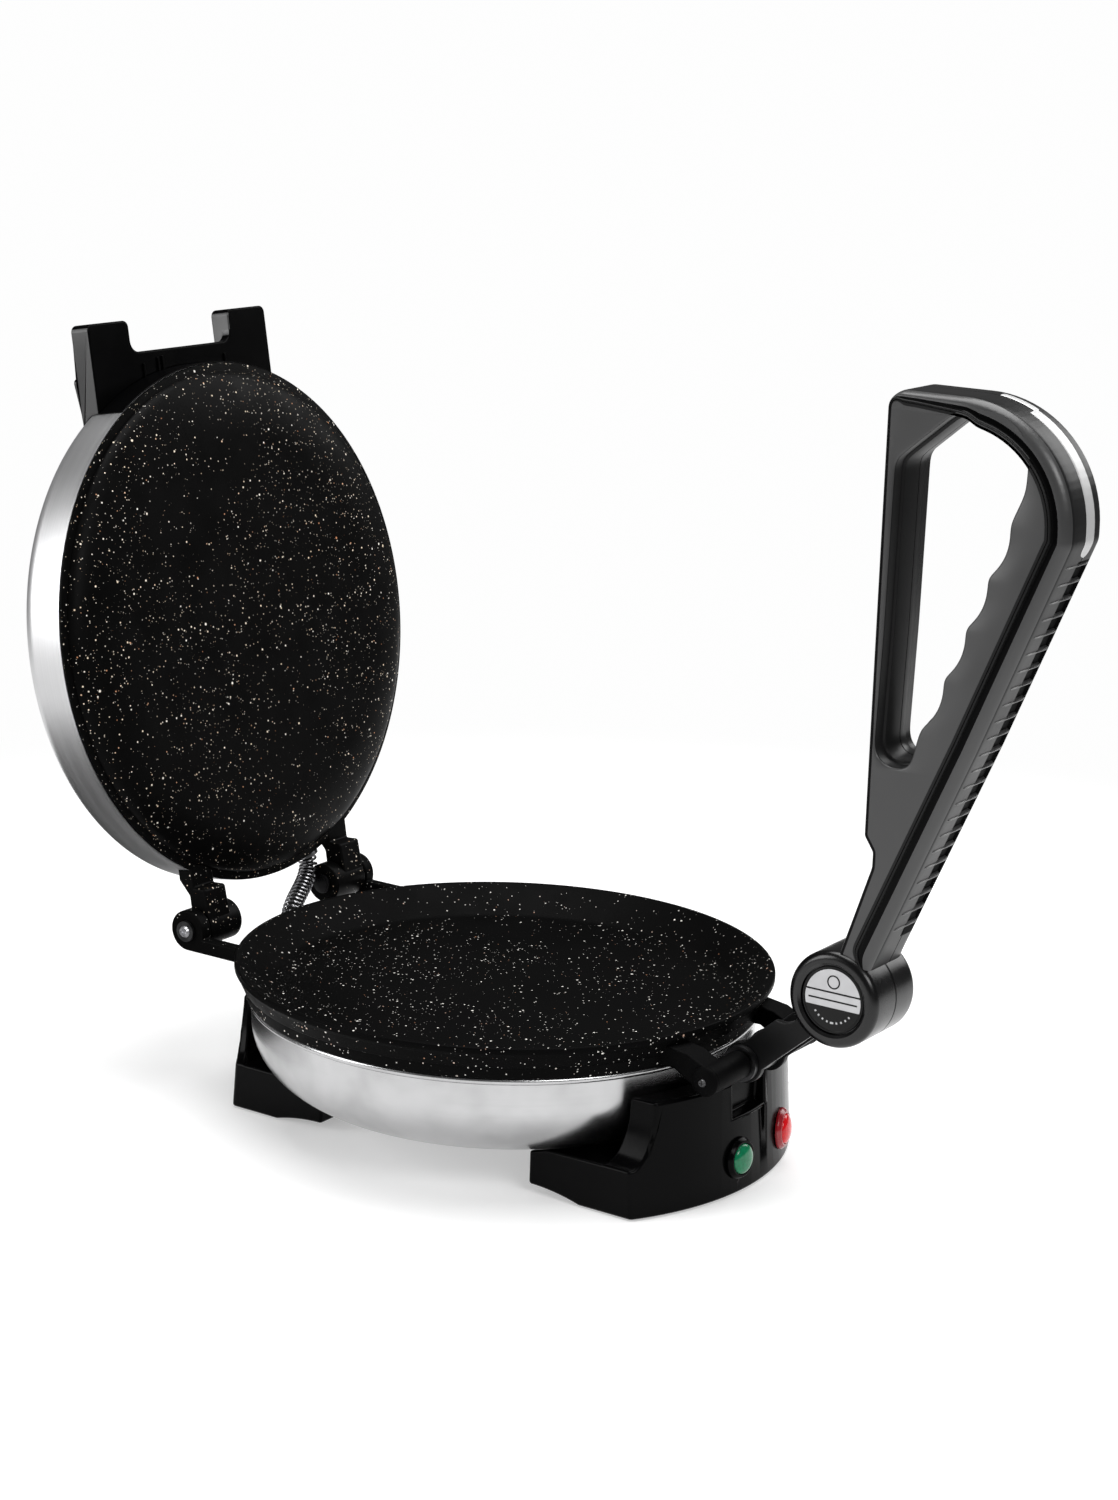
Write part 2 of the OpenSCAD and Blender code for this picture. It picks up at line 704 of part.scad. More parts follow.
// The sprung sleeve runs from a spout on the rear foot to a socket in the lid's flank
foot_end = [sleeve_x, hinge_y - 4.5, under_z + 3];
foot_way = unit([0.12, 0.32, 0.94]);
socket_z = lid_z + 7;
socket_r = sqrt(lid_r * lid_r - sleeve_top_x * sleeve_top_x);
socket_out = [sleeve_top_x / lid_r, socket_r / lid_r * cos(lid_open), -socket_r / lid_r * sin(lid_open)];
lid_end = [sleeve_top_x, open_y(socket_r, socket_z), open_z(socket_r, socket_z)] + 2.6 * socket_out;
spring_r = coil_r - wire_r;
sleeve_pull = 15;
function sleeve(t) = bend(foot_end, sleeve_pull * foot_way, lid_end, sleeve_pull * socket_out, t);

// The coil's own line: s runs from 0 to 1 along the sleeve
function coil_point(s) =
  let (
    ahead = unit(sleeve(min(s + 0.01, 1)) - sleeve(max(s - 0.01, 0))),
    e1 = unit(cross(ahead, [0, 1, 0])),
    e2 = cross(ahead, e1)
  )
  sleeve(s) + spring_r * (cos(360 * curls * s) * e1 + sin(360 * curls * s) * e2);

steps = 8;
coil_line = [for (i = [0:curls * steps]) coil_point(0.02 + 0.96 * i / (curls * steps))];

// The least gap between neighbouring curls, measured on the coil's points
coil_gap = min([for (i = [0:len(coil_line) - 1], j = [i + steps - 2:min(i + steps + 2, len(coil_line) - 1)])
  if (j < len(coil_line)) norm(coil_line[i] - coil_line[j])]) - 2 * wire_r;
echo(least_coil_gap = coil_gap);

module sleeve_coil() {
  n = len(coil_line);
  ends = [coil_line[0] - 1.4 * wire_r * foot_way, coil_line[n - 1] - 1.4 * wire_r * socket_out];
  color([0.7, 0.7, 0.72]) placed() tube([ends[0], each coil_line, ends[1]], wire_r, 6);
}

module sleeve_cable() {
  color(rubber) placed() tube([for (i = [0:12]) sleeve(0.015 + 0.97 * i / 12)], cable_r, 8);
}

// A ferrule drawn along +Z, with the sleeve's mouth upwards
module ferrule(depth) {
  difference() {
    cylinder(r = coil_r + 1.2, h = depth);
    translate([0, 0, -1]) cylinder(r = cable_r + 0.4, h = depth + 2);
  }
}

module along(p, way) {
  translate(p) rotate([0, acos(way.z), atan2(way.y, way.x)]) children();
}

ferrule_h = 2.4;
module sleeve_socket() {
  color(zinc) placed() along(foot_end - (ferrule_h + seat) * foot_way, foot_way) ferrule(ferrule_h);
}

// A moulded spout on the rear foot carries the sleeve's lower end past the dish's rim
spout_l = 24;
spout_top = foot_end - (ferrule_h + 2 * seat) * foot_way;
module sleeve_spout() {
  difference() {
    along(spout_top - spout_l * foot_way, foot_way) cylinder(r = coil_r + 1.2, h = spout_l);
    bowl_body(0.6);
    translate([0, 0, skirt_z - 1]) cylinder(r = skirt_r + 1.4, h = 6);
  }
}

module sleeve_cut() {
  along(spout_top - (spout_l + 3) * foot_way, foot_way) cylinder(r = cable_r + 0.4, h = spout_l + 6);
}

// Where the cord and the sleeve's cable enter the bowl
module wire_entry() {
  translate([0, rear_reach - 28, 10]) cylinder(r = 7, h = 18);
}

module lid_socket() {
  inset = 1.8;
  color(zinc) on_lid() difference() {
    radial(sleeve_top_x, socket_z, -sheet_t - inset) cylinder(r = coil_r + 1.2, h = sheet_t + inset + 2.4 - seat);
    radial(sleeve_top_x, socket_z, -sheet_t - inset - 1) cylinder(r = cable_r + 0.4, h = 20);
  }
}

// Outward from the lid's flank at x, in the closed lid
module radial(x, z, out) {
  turn = -asin(x / lid_r);
  rotate(turn) translate([0, lid_r + out, z]) rotate([-90, 0, 0]) children();
}

module upper_plate() {
  seat_w = 4;
  edge_r = lid_r - sheet_t - seat;
  shoulder = edge_r - seat_w - crown_r;
  color(black_cast) on_lid() difference() {
    union() {
      rotate_extrude() polygon([[0, crown_z],
        for (i = [0:12]) [crown_r + shoulder * sin(90 * i / 12), lid_z - (lid_z - crown_z) * cos(90 * i / 12)],
        [edge_r, lid_z], [edge_r, lid_z + 4], [edge_r - 5, lid_z + 4], [crown_r + 4, crown_z + 6],
        [0, crown_z + 6]]);
      both_sides() lid_arm();
    }
    translate([0, hinge_y, hinge_z]) rod(pin_r + fit, -hinge_x, hinge_x);
    radial(sleeve_top_x, socket_z, -12) cylinder(r = coil_r + 1.2 + seat, h = 30);
    translate([0, 0, crown_z + 2]) cylinder(r = bolt_r - 1 + fit, h = 20);
  }
}

// One arm of the lid, cranked down behind the rim to its hinge barrel
module lid_arm() {
  x0 = -hinge_x + arm_t + run;
  x1 = x0 + lid_arm_w;
  knee_y = sqrt(rim_r * rim_r - x1 * x1) + 1.3;
  edge_r = lid_r - sheet_t - seat;
  root_y = sqrt(edge_r * edge_r - x0 * x0) - 0.9;
  arm_h = 8;
  slab(x0, x0 + lid_arm_w)
    polygon([[hinge_y + 1, hinge_z - knuckle_r + 0.5], [knee_y, hinge_z - knuckle_r + 1.5], [knee_y - 0.6, lid_z],
      [root_y, lid_z], [root_y, lid_z + arm_h], [root_y + 7, lid_z + arm_h],
      [knee_y + 3, hinge_z + 2], [hinge_y + 1, hinge_z + 2]]);
  translate([0, hinge_y, hinge_z]) rod(knuckle_r, x0, x0 + barrel_l);
}

module upper_heater() {
  color(zinc) on_lid() element(crown_z + 6 + seat + element_r, 1);
}

module upper_shield() {
  color(zinc) on_lid() translate([0, 0, lid_z + 10]) difference() {
    cylinder(r = shield_r, h = sheet_t);
    translate([0, 0, -1]) cylinder(r = bolt_r + seat, h = 4);
    for (a = [293, 247]) rotate(a) translate([element_ring, 0, -1]) cylinder(r = element_r + 1, h = 4);
  }
}

// The lid's shell as points, grown by g
function shell_outline(g) = [
  [lid_r + g, lid_z + 0.6],
  for (i = [0:8]) let (a = 90 * i / 8)
    [lid_r - lid_round + (lid_round + g) * cos(a), lid_top - lid_round + (lid_round + g) * sin(a)],
  [0, lid_top + g]
];

module upper_shell() {
  inner = shell_outline(-sheet_t);
  x0 = -hinge_x + arm_t + run;
  color(steel) on_lid() difference() {
    rotate_extrude() polygon([each shell_outline(0), for (i = [len(inner) - 1:-1:0]) inner[i]]);
    both_sides() translate([x0 - seat, lid_r / 2, lid_z - 1])
      cube([lid_arm_w + 2 * seat, lid_r, 9 + seat]);
    radial(sleeve_top_x, socket_z, -10) cylinder(r = coil_r + 1.2 + seat, h = 20);
    translate([0, 0, lid_top - 3]) cylinder(r = bolt_r + fit, h = 6);
    for (p = fork_screw_spots()) translate([p.x, p.y, lid_top - 3]) cylinder(r = 2, h = 6);
  }
}

module shell_bolt() {
  low = crown_z + 3;
  top_z = lid_z + 10;
  color(zinc) on_lid() {
    translate([0, 0, low]) cylinder(r = bolt_r - 1, h = lid_top - low + 0.5);
    translate([0, 0, lid_top + 0.1]) cylinder(r1 = 5, r2 = 3.5, h = 1.6);
    translate([0, 0, crown_z + 6 + seat]) cylinder(r = 5, h = top_z - crown_z - 6 - 2 * seat);
    translate([0, 0, top_z + sheet_t + seat]) cylinder(r = 5, h = lid_top - sheet_t - top_z - sheet_t - 2 * seat);
  }
}

// The fork that the lever's hub presses: two prongs, a low bridge, and tabs on the lid's top
tab_t = 3;
module press_fork() {
  inner = fork_gap / 2;
  outer = fork_w / 2;
  tab_y = lid_r - 37;
  back_y = lid_r - 25;
  tab_round = min(6, 0.45 * (outer - inner - 10));
  color(black_satin) on_lid() difference() {
    union() {
      translate([0, 0, fork_base]) linear_extrude(prong_t) both_sides()
        polygon(rounded([[-outer, -fork_reach, 3], [-inner, -fork_reach, 3], [-inner, -back_y, 0], [-outer, -back_y, 0]]));
      translate([0, 0, fork_base]) linear_extrude(bridge_t)
        polygon([[-inner - 5, -back_y - 10], each fork_fillet(-1), each fork_fillet(1), [inner + 5, -back_y - 10]]);
      both_sides() translate([0, 0, lid_top + 0.1]) linear_extrude(tab_t)
        polygon(rounded([[-outer, -lid_r, 2], [-inner - 4, -lid_r, 2], [-inner - 4, -tab_y, tab_round], [-outer + 6, -tab_y, tab_round]]));
    }
    lid_body(0.1);
    for (p = fork_screw_spots()) translate([p.x, p.y, lid_top - 2]) cylinder(r = 1.8 + fit, h = 20);
  }
}

// The bridge's front edge, with a rounded inner corner on side s
function fork_fillet(s) =
  let (
    r = 5,
    x = fork_gap / 2,
    arc = [for (i = [0:6]) [s * (x - r + r * sin(15 * i)), -bridge_reach - r + r * cos(15 * i)]]
  )
  s < 0 ? [[-x - 2, -bridge_reach - r], for (i = [6:-1:0]) arc[i]] : [each arc, [x + 2, -bridge_reach - r]];

// The closed lid as a solid, grown by g
module lid_body(g) {
  rotate_extrude() polygon([each shell_outline(g), [0, 0], [lid_r + g, 0]]);
}

function fork_screw_spots() = [for (s = [-1, 1]) [s * (fork_w / 2 - 14), 27 - lid_r]];

module fork_screws() {
  color(zinc) on_lid() for (p = fork_screw_spots()) {
    translate([p.x, p.y, lid_top + tab_t + 0.2]) cylinder(r1 = 3.4, r2 = 2.4, h = 1.8);
    translate([p.x, p.y, lid_top - 6]) cylinder(r = 1.8, h = tab_t + 7);
  }
}

// One flat arm of the lever, drawn with its pivot at the origin and its hub above
// Its waist clears the fork's bridge when the lever stands upright
module bar_shape(g) {
  waist_r = 10;
  waist_y = pivot_reach - bridge_reach - 2 * seat;
  waist_z = fork_base + bridge_t / 2 - pivot_z;
  difference() {
    translate([-bar_w / 2 - g, 0]) square([bar_w + 2 * g, arm_l]);
    translate([waist_y - g + waist_r - 0.6, waist_z]) circle(r = waist_r);
  }
  circle(r = bar_w / 2 + 2 + g);
  translate([0, arm_l]) circle(r = bar_w / 2 + 2 + g);
}

module yoke() {
  tie_r = hub_bolt_r + 3;
  inner = yoke_w / 2 - bar_t;
  color(black_satin) on_lever() difference() {
    union() {
      both_sides() slab(-yoke_w / 2, -inner) bar_shape(0);
      translate([0, 0, arm_l]) rod(tie_r, -inner - 1, inner + 1);
      translate([-inner - 1, -1.5, arm_l - 20 - tie_r]) cube([2 * inner + 2, 3, 20 + tie_r]);
    }
    rod(pivot_r + fit, -yoke_w, yoke_w);
    translate([0, 0, arm_l]) rod(hub_bolt_r + fit, -yoke_w, yoke_w);
  }
}

// The handle's outline around the hub: out from the lid is +x, up is +y
// Each corner is [x, y, radius, how far its edge draws in at the faces]
neck_x = 15.5;
step_y = 62;
back_mid = [50.5, 108];
grip_corners = [
  [2, 5, 0, 1],
  [18, 5, 0, 6],
  [back_mid.x, back_mid.y, 150, 5],
  [grip_side + grip_reach, curve_up - 3, 9, 6.5],
  [grip_side + grip_reach, grip_h, grip_curve - 1, 6.5],
  [grip_side, grip_h, 7, 2.4],
  [grip_side, step_y + 7, 3.5, 1.2],
  [neck_x, step_y + 1, 2.5, 1.2],
  [neck_x, step_y - 5, 6, 1.2]
];

// The rounded outline with each point's draw-in: [x, y, draw]
function drawn(p, n) = [
  for (i = [0:len(p) - 1])
    let (q = corner(p[(i + len(p) - 1) % len(p)], p[i], p[(i + 1) % len(p)], p[i][2], i == 4 ? 18 : n))
    for (k = q) [k.x, k.y, p[i][3]]
];

grip_line = drawn(grip_corners, 6);

// Outward direction of the outline at point i
function outward(p, i) =
  let (a = p[(i + len(p) - 1) % len(p)], b = p[(i + 1) % len(p)], d = unit([b.x - a.x, b.y - a.y])) [d.y, -d.x];

grip_round = 7;
grip_levels = 5;

// One half of the handle, from the seam at x = 0 to the flat face, its edges drawn in on a round
module grip_half() {
  n = len(grip_line);
  rings = [
    [0, 0],
    for (k = [0:grip_levels]) let (a = 90 * k / grip_levels)
      [grip_w / 2 - grip_round + grip_round * sin(a), 1 - cos(a)]
  ];
  points = [for (ring = rings, i = [0:n - 1])
    let (q = [grip_line[i].x, grip_line[i].y] - grip_line[i][2] * ring[1] * outward(grip_line, i))
    [-ring[0], -q.x, q.y]];
  last = len(rings) - 1;
  polyhedron(points, [
    for (k = [0:last - 1], i = [0:n - 1])
      let (a = k * n + i, b = k * n + (i + 1) % n) each [[a, a + n, b], [b, a + n, b + n]],
    [for (i = [0:n - 1]) i],
    [for (i = [n - 1:-1:0]) last * n + i]
  ]);
}

// The loop's opening, with finger hollows along the grip
finger_way = [sin(21), cos(21)];
finger_start = [31.3, 115.6];
fingers = 5;
function finger_arc(i) =
  let (
    a = finger_start + i * finger_pitch * finger_way,
    side = [finger_way.y, -finger_way.x],
    sag = finger_depth
  )
  [for (k = [0:7]) a + finger_way * finger_pitch * k / 8 + side * sag * (1 - pow(k / 4 - 1, 2))];

function loop_outline() =
  let (
    x = grip_side + side_t,
    top = grip_h - 5.5,
    far = finger_start + fingers * finger_pitch * finger_way
  )
  [
    each rounded_run([[x + 1, top - 22, 3], [x - 1.5, 98, 8], [27, 98, 5], [finger_start.x - 3, finger_start.y - 7, 2]]),
    for (i = [0:fingers - 2]) each finger_arc(i),
    far - finger_pitch * finger_way,
    each rounded_run([[far.x - 4, far.y - 8, 5], [far.x - 1.5, top - 3, 16], [47, top + 1, 10], [36, top - 2, 6]])
  ];

// Rounded corners of an open run of points: the first and last keep their place
function rounded_run(p) = [
  [p[0].x, p[0].y],
  for (i = [1:len(p) - 2]) each corner(p[i - 1], p[i], p[i + 1], p[i][2], 6),
  [p[len(p) - 1].x, p[len(p) - 1].y]
];

// Slanted grooves across the back of one half
module grooves() {
  depth = 0.9;
  slant = 10;
  start = [grip_side + grip_reach, curve_up - 16];
  upper_l = norm(start - back_mid);
  for (i = [0:groove_count - 1]) {
    at = i * groove_pitch;
    way = at < upper_l ? unit(back_mid - start) : unit([18, 5] - back_mid);
    p = at < upper_l ? start + way * at : back_mid + way * (at - upper_l);
    translate([0, -p.x, p.y]) rotate([atan2(way.x, -way.y), 0, 0]) rotate([0, slant, 0])
      translate([-9.5, -depth, -0.5]) cube([11, 3, 1]);
  }
}

// The bright strip's ring section over the grip
trim_from = 4;
trim_to = 74;
module trim_ring(g) {
  inside = grip_curve - 2 - g;
  translate([0, -curve_out, curve_up]) rotate([90, 0, -90])
    rotate_extrude(angle = trim_to - trim_from + 2 * g, start = trim_from - g)
      translate([inside, -trim_w / 2 - g]) square([grip_curve + 0.3 + g - inside, trim_w + 2 * g]);
}

// A hub half with its rounded ring and the recess for its cap
module hub_half() {
  recess = 2.4;
  seam = 0.15;
  rotate([0, -90, 0]) rotate_extrude() polygon([[0, seam], [hub_r, seam],
    for (i = [0:6]) [hub_r - 3.5 + 3.5 * cos(15 * i), hub_l / 2 - 3.5 + 3.5 * sin(15 * i)],
    [cap_r + 1.2, hub_l / 2], [cap_r + seat, hub_l / 2 - 1], [cap_r + seat, hub_l / 2 - recess],
    [0, hub_l / 2 - recess]]);
}

// The yoke's place inside the hub, with clearance
module yoke_pocket() {
  wide = yoke_w / 2 + seat;
  translate([0, 0, 0]) rotate([handle_lean, 0, 0]) translate([0, 0, -arm_l])
    slab(-wide, wide) difference() {
      bar_shape(seat);
      circle(r = bar_w / 2 + 6);
    }
}

module grip_cut() {
  difference() {
    grip_half();
    rotate([90, 0, -90]) translate([0, 0, -1]) linear_extrude(grip_w) polygon(loop_outline());
    grooves();
    trim_ring(seat);
  }
}

module handle_half() {
  difference() {
    union() {
      grip_cut();
      hub_half();
    }
    yoke_pocket();
    rod(hub_bolt_r + fit, -hub_l, hub_l);
  }
}

// Screws join the halves from the right, so the left face stays plain
screw_end = grip_w / 2 - 3;
module handle_left() {
  color(black_satin) on_hub() translate([-0.05, 0, 0]) difference() {
    handle_half();
    for (p = handle_screw_spots()) translate([0, -p.x, p.y]) rod(1.6 + fit, -screw_end - 0.5, 1);
  }
}

module handle_right() {
  color(black_satin) on_hub() difference() {
    translate([0.05, 0, 0]) mirror([1, 0, 0]) handle_half();
    for (p = handle_screw_spots()) translate([0, -p.x, p.y]) {
      rod(1.6 + fit, -1, grip_w);
      rod(3, screw_end - 1.2, grip_w);
    }
  }
}

module handle_trim() {
  color([0.85, 0.85, 0.86]) on_hub() trim_ring(0);
}

module hub_cap(s) {
  t = 1.4;
  color([0.8, 0.8, 0.8]) on_hub() translate([s * (hub_l / 2 - 2.4 + 0.1), 0, 0]) rotate([0, s * 90, 0])
    rotate_extrude() polygon([[0, 0.6], [cap_r - 1.6, 0.6], [cap_r - 1.6, 0], [cap_r, 0], [cap_r, t - 0.3],
      [cap_r - 0.3, t], [0, t]]);
}

module hub_cap_left() {
  hub_cap(-1);
}

module hub_cap_right() {
  hub_cap(1);
}

module hub_bolt() {
  reach = hub_l / 2 - 2.6;
  color(zinc) on_hub() rod(hub_bolt_r, -reach, reach);
}

function handle_screw_spots() = [[24, 84], [17.5, 232], [60, 150]];

module handle_screws() {
  color(zinc) on_hub() for (p = handle_screw_spots()) translate([0, -p.x, p.y]) {
    rod(1.6, -screw_end, screw_end - 1);
    rod(2.8, screw_end - 1.1, screw_end + 0.6);
  }
}

lower_plate();
lower_heater();
lower_shield();
thermostat();
base_bowl();
bowl_bolt();
terminal_block();
base_leads();
front_foot();
rear_foot();
front_pads();
rear_pads();
foot_screws();
green_bezel();
green_lens();
red_bezel();
red_lens();
lamp_bodies();
cord_gland();
hinge_pins();
pivot_pin();
pivot_bushes();
sleeve_coil();
sleeve_cable();
sleeve_socket();
upper_plate();
upper_heater();
upper_shield();
upper_shell();
shell_bolt();
lid_socket();
press_fork();
fork_screws();
yoke();
handle_left();
handle_right();
handle_trim();
hub_cap_left();
hub_cap_right();
hub_bolt();
handle_screws();
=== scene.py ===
import bpy
import bmesh
import math
from mathutils import Matrix, Vector
from mathutils.geometry import tessellate_polygon


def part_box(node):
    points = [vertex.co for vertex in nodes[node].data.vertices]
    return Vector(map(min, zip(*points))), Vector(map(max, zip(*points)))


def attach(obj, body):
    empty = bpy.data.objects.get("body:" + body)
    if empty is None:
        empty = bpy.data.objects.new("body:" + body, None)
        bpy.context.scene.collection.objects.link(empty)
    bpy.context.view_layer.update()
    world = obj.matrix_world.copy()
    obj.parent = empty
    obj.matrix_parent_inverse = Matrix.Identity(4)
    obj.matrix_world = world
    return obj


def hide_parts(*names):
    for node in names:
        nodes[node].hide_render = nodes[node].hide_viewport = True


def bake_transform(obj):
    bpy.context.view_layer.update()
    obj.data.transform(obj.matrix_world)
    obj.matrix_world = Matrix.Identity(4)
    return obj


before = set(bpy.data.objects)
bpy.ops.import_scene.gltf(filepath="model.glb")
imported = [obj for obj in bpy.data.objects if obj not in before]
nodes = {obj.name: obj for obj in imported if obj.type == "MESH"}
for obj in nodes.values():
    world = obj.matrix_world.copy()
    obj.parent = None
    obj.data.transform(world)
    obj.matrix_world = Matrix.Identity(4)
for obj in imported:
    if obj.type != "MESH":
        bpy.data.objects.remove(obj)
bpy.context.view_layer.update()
mm = 0.001  # sizes are written in millimetres, and the meshes are in metres
tiny = 1e-6
sides = {"plate": 256, "hub": 128, "lamp": 96, "pin": 64}  # of the turned pieces
fromMetres = Matrix.Scale(1 / mm, 4)
bowlLow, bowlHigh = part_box("base_bowl")
shiftY = (bowlLow[1] + bowlHigh[1]) / 2 / mm  # how far the dish's axis stands behind the middle

# where the moving pieces stand at rest, measured from the dish's axis
hinge = {"y": 127.0, "z": 74.5, "open": 99.7}
lever = {"pivotY": -126.5, "pivotZ": 57.5, "arm": 56.0, "tilt": 48.8}
hubY = lever["pivotY"] - lever["arm"] * math.sin(math.radians(lever["tilt"]))
hubZ = lever["pivotZ"] + lever["arm"] * math.cos(math.radians(lever["tilt"]))

basePlace = Matrix.Translation((0, shiftY, 0))
lidPlace = (basePlace @ Matrix.Translation((0, hinge["y"], hinge["z"]))
            @ Matrix.Rotation(math.radians(-hinge["open"]), 4, "X")
            @ Matrix.Translation((0, -hinge["y"], -hinge["z"])))
armPlace = (basePlace @ Matrix.Translation((0, lever["pivotY"], lever["pivotZ"]))
            @ Matrix.Rotation(math.radians(lever["tilt"]), 4, "X"))
hubPlace = basePlace @ Matrix.Translation((0, hubY, hubZ))


# lays a turned piece's axis along X, pointing out to its side
def outTo(side):
    return Matrix.Rotation(math.radians(90 * side), 4, "Y")


# one output of a node: a sum written with it adds the nodes of the sum
class Wire:
    def __init__(self, kit, socket):
        self.kit, self.socket = kit, socket

    def math(self, operation, *others):
        return self.kit.node("ShaderNodeMath", {"operation": operation}, dict(enumerate((self, *others))))

    def __add__(self, other):
        return self.math("ADD", other)

    def __sub__(self, other):
        return self.math("SUBTRACT", other)

    def __mul__(self, other):
        return self.math("MULTIPLY", other)

    def __gt__(self, other):
        return self.math("GREATER_THAN", other)

    def __rsub__(self, other):
        return self.kit.node("ShaderNodeMath", {"operation": "SUBTRACT"}, {0: other, 1: self})

    __radd__, __rmul__ = __add__, __mul__


# what finishes and recipes share: any node comes from the one method, and its sockets take values or wires
class Kit:
    def put(self, socket, value):
        if isinstance(value, Wire):
            self.tree.links.new(value.socket, socket)
        elif socket.type == "RGBA" and len(value) == 3:
            socket.default_value = (*value, 1)
        else:
            socket.default_value = value

    def node(self, kind, settings=None, values=None, output=0):
        made = self.tree.nodes.new(kind)
        for key, value in (settings or {}).items():
            if key == "stops":
                ramp = made.color_ramp
                while len(ramp.elements) < len(value):
                    ramp.elements.new(0.5)
                for element, (place, shade) in zip(ramp.elements, value):
                    element.position = place
                    element.color = (*shade, 1) if isinstance(shade, tuple) else (shade, shade, shade, 1)
            else:
                setattr(made, key, value)
        for key, value in (values or {}).items():
            self.put(made.inputs[key], value)
        return Wire(self, made.outputs[output])

    def vector(self, operation, *values):
        return self.node("ShaderNodeVectorMath", {"operation": operation}, dict(enumerate(values)))

    def scaled(self, way, amount):
        return self.node("ShaderNodeVectorMath", {"operation": "SCALE"}, {"Vector": way, "Scale": amount})


# a material built round the shader it starts with
class Finish(Kit):
    def __init__(self, name, **values):
        self.material = bpy.data.materials.new(name)
        self.material.use_nodes = True
        self.tree = self.material.node_tree
        self.shader = self.tree.nodes["Principled BSDF"]
        self.set(**values)

    def set(self, **values):
        for key, value in values.items():
            self.put(self.shader.inputs[key.replace("_", " ")], value)

    def coordinates(self, kind="Object"):
        return self.node("ShaderNodeTexCoord", output=kind)

    def stretched(self, place, scale):
        return self.node("ShaderNodeMapping", None, {"Vector": place, "Scale": scale})

    def noise(self, place, scale, detail=3.0, rough=0.5):
        return self.node("ShaderNodeTexNoise", None,
                         {"Vector": place, "Scale": scale, "Detail": detail, "Roughness": rough})

    def between(self, value, low, high, toLow=0.0, toHigh=1.0):
        return self.node("ShaderNodeMapRange", {"interpolation_type": "SMOOTHSTEP"},
                         {"Value": value, "From Min": low, "From Max": high, "To Min": toLow, "To Max": toHigh})

    def mixed(self, share, first, second):
        made = self.tree.nodes.new("ShaderNodeMix")
        made.data_type = "RGBA"
        self.put(made.inputs["Factor"], share)
        self.put(made.inputs[6], first)
        self.put(made.inputs[7], second)
        return Wire(self, made.outputs[2])

    def bump(self, height, strength, distance):
        values = {"Height": height, "Strength": strength, "Distance": distance}
        self.set(Normal=self.node("ShaderNodeBump", None, values))

    # round flecks, one to a cell, with their own sizes and a random shade each
    def flecks(self, place, cell, share, big):
        voronoi = {"Vector": place, "Scale": 1 / (cell * mm)}
        far = self.node("ShaderNodeTexVoronoi", None, voronoi)
        pick = self.node("ShaderNodeTexVoronoi", None, voronoi, output="Color")
        parts = self.tree.nodes.new("ShaderNodeSeparateColor")
        self.tree.links.new(pick.socket, parts.inputs[0])
        chance, size, tone = (Wire(self, parts.outputs[i]) for i in range(3))
        radius = size * size * big + big * 0.35  # few are big, and none is a mere dot
        disc = self.between(radius - far, -0.02, 0.05)
        return disc * (share - chance > 0), tone


# black coating with pale flecks. A layer is (cell in mm, share of cells, size, strength). The flecks gather in
# patches: cluster is (scale of the patches, where they start, where they are full, share left between them).
def coatedPlate(name, layers, cluster, tints, roughness, gloss):
    f = Finish(name, Specular_IOR_Level=gloss)
    place = f.coordinates()
    scale, low, high, least = cluster
    patches = f.between(f.noise(place, scale), low, high, least, 1.0)
    colour = f.mixed(f.noise(place, 30), (0.0015,) * 3, (0.003,) * 3)
    for cell, share, big, strength in layers:
        disc, tone = f.flecks(place, cell, patches * share, big)
        tint = f.node("ShaderNodeValToRGB", {"stops": tints}, {"Fac": tone})
        colour = f.mixed(disc * strength, colour, tint)
    grain = f.noise(place, 900, 2) * 0.6 + f.noise(place, 220, 2)
    f.set(Base_Color=colour, Roughness=f.between(f.noise(place, 60), 0.3, 0.7, roughness - 0.05, roughness + 0.06))
    f.bump(grain, 0.35, 0.00012)
    return f.material


# along is how far the brushing is drawn out round the piece, streak and cloud how much they darken it
def brushedSteel(name, shade, roughness, along, streak, cloud):
    f = Finish(name, Metallic=1.0)
    place = f.coordinates("UV")
    fine = f.noise(f.stretched(place, (along, 3.5, 1)), 1.0, 4, 0.65)
    broad = f.noise(f.stretched(place, (along * 0.4, 0.25, 1)), 1.0, 2)
    patch = f.between(f.noise(f.coordinates(), 26, 3, 0.6), 0.32, 0.68, 1 - cloud, 1.0)
    bright = patch * f.between(fine, 0.3, 0.7, shade * (1 - streak), shade)
    f.set(Base_Color=f.node("ShaderNodeCombineColor", None, {0: bright, 1: bright, 2: bright * 1.01}),
          Roughness=f.between(fine * 0.4 + broad * 0.6, 0.3, 0.7, roughness * 0.9, roughness * 1.1))
    f.bump(fine, 0.05, 0.00005)
    return f.material


# moulded plastic: peel is the strength of its fine grain, speck the share of the finest
def plastic(name, shade, roughness, peel, speck=0.0, gloss=0.16):
    f = Finish(name, Specular_IOR_Level=gloss)
    place = f.coordinates()
    cloud = f.noise(place, 18, 3)
    f.set(Base_Color=f.mixed(cloud, tuple(c * 0.8 for c in shade), tuple(c * 1.2 for c in shade)),
          Roughness=f.between(f.noise(place, 40, 4), 0.25, 0.75, roughness * 0.85, roughness * 1.18))
    f.bump(f.noise(place, 420, 2) * 0.7 + f.noise(place, 2400, 2) * speck, peel, 0.0001)
    return f.material


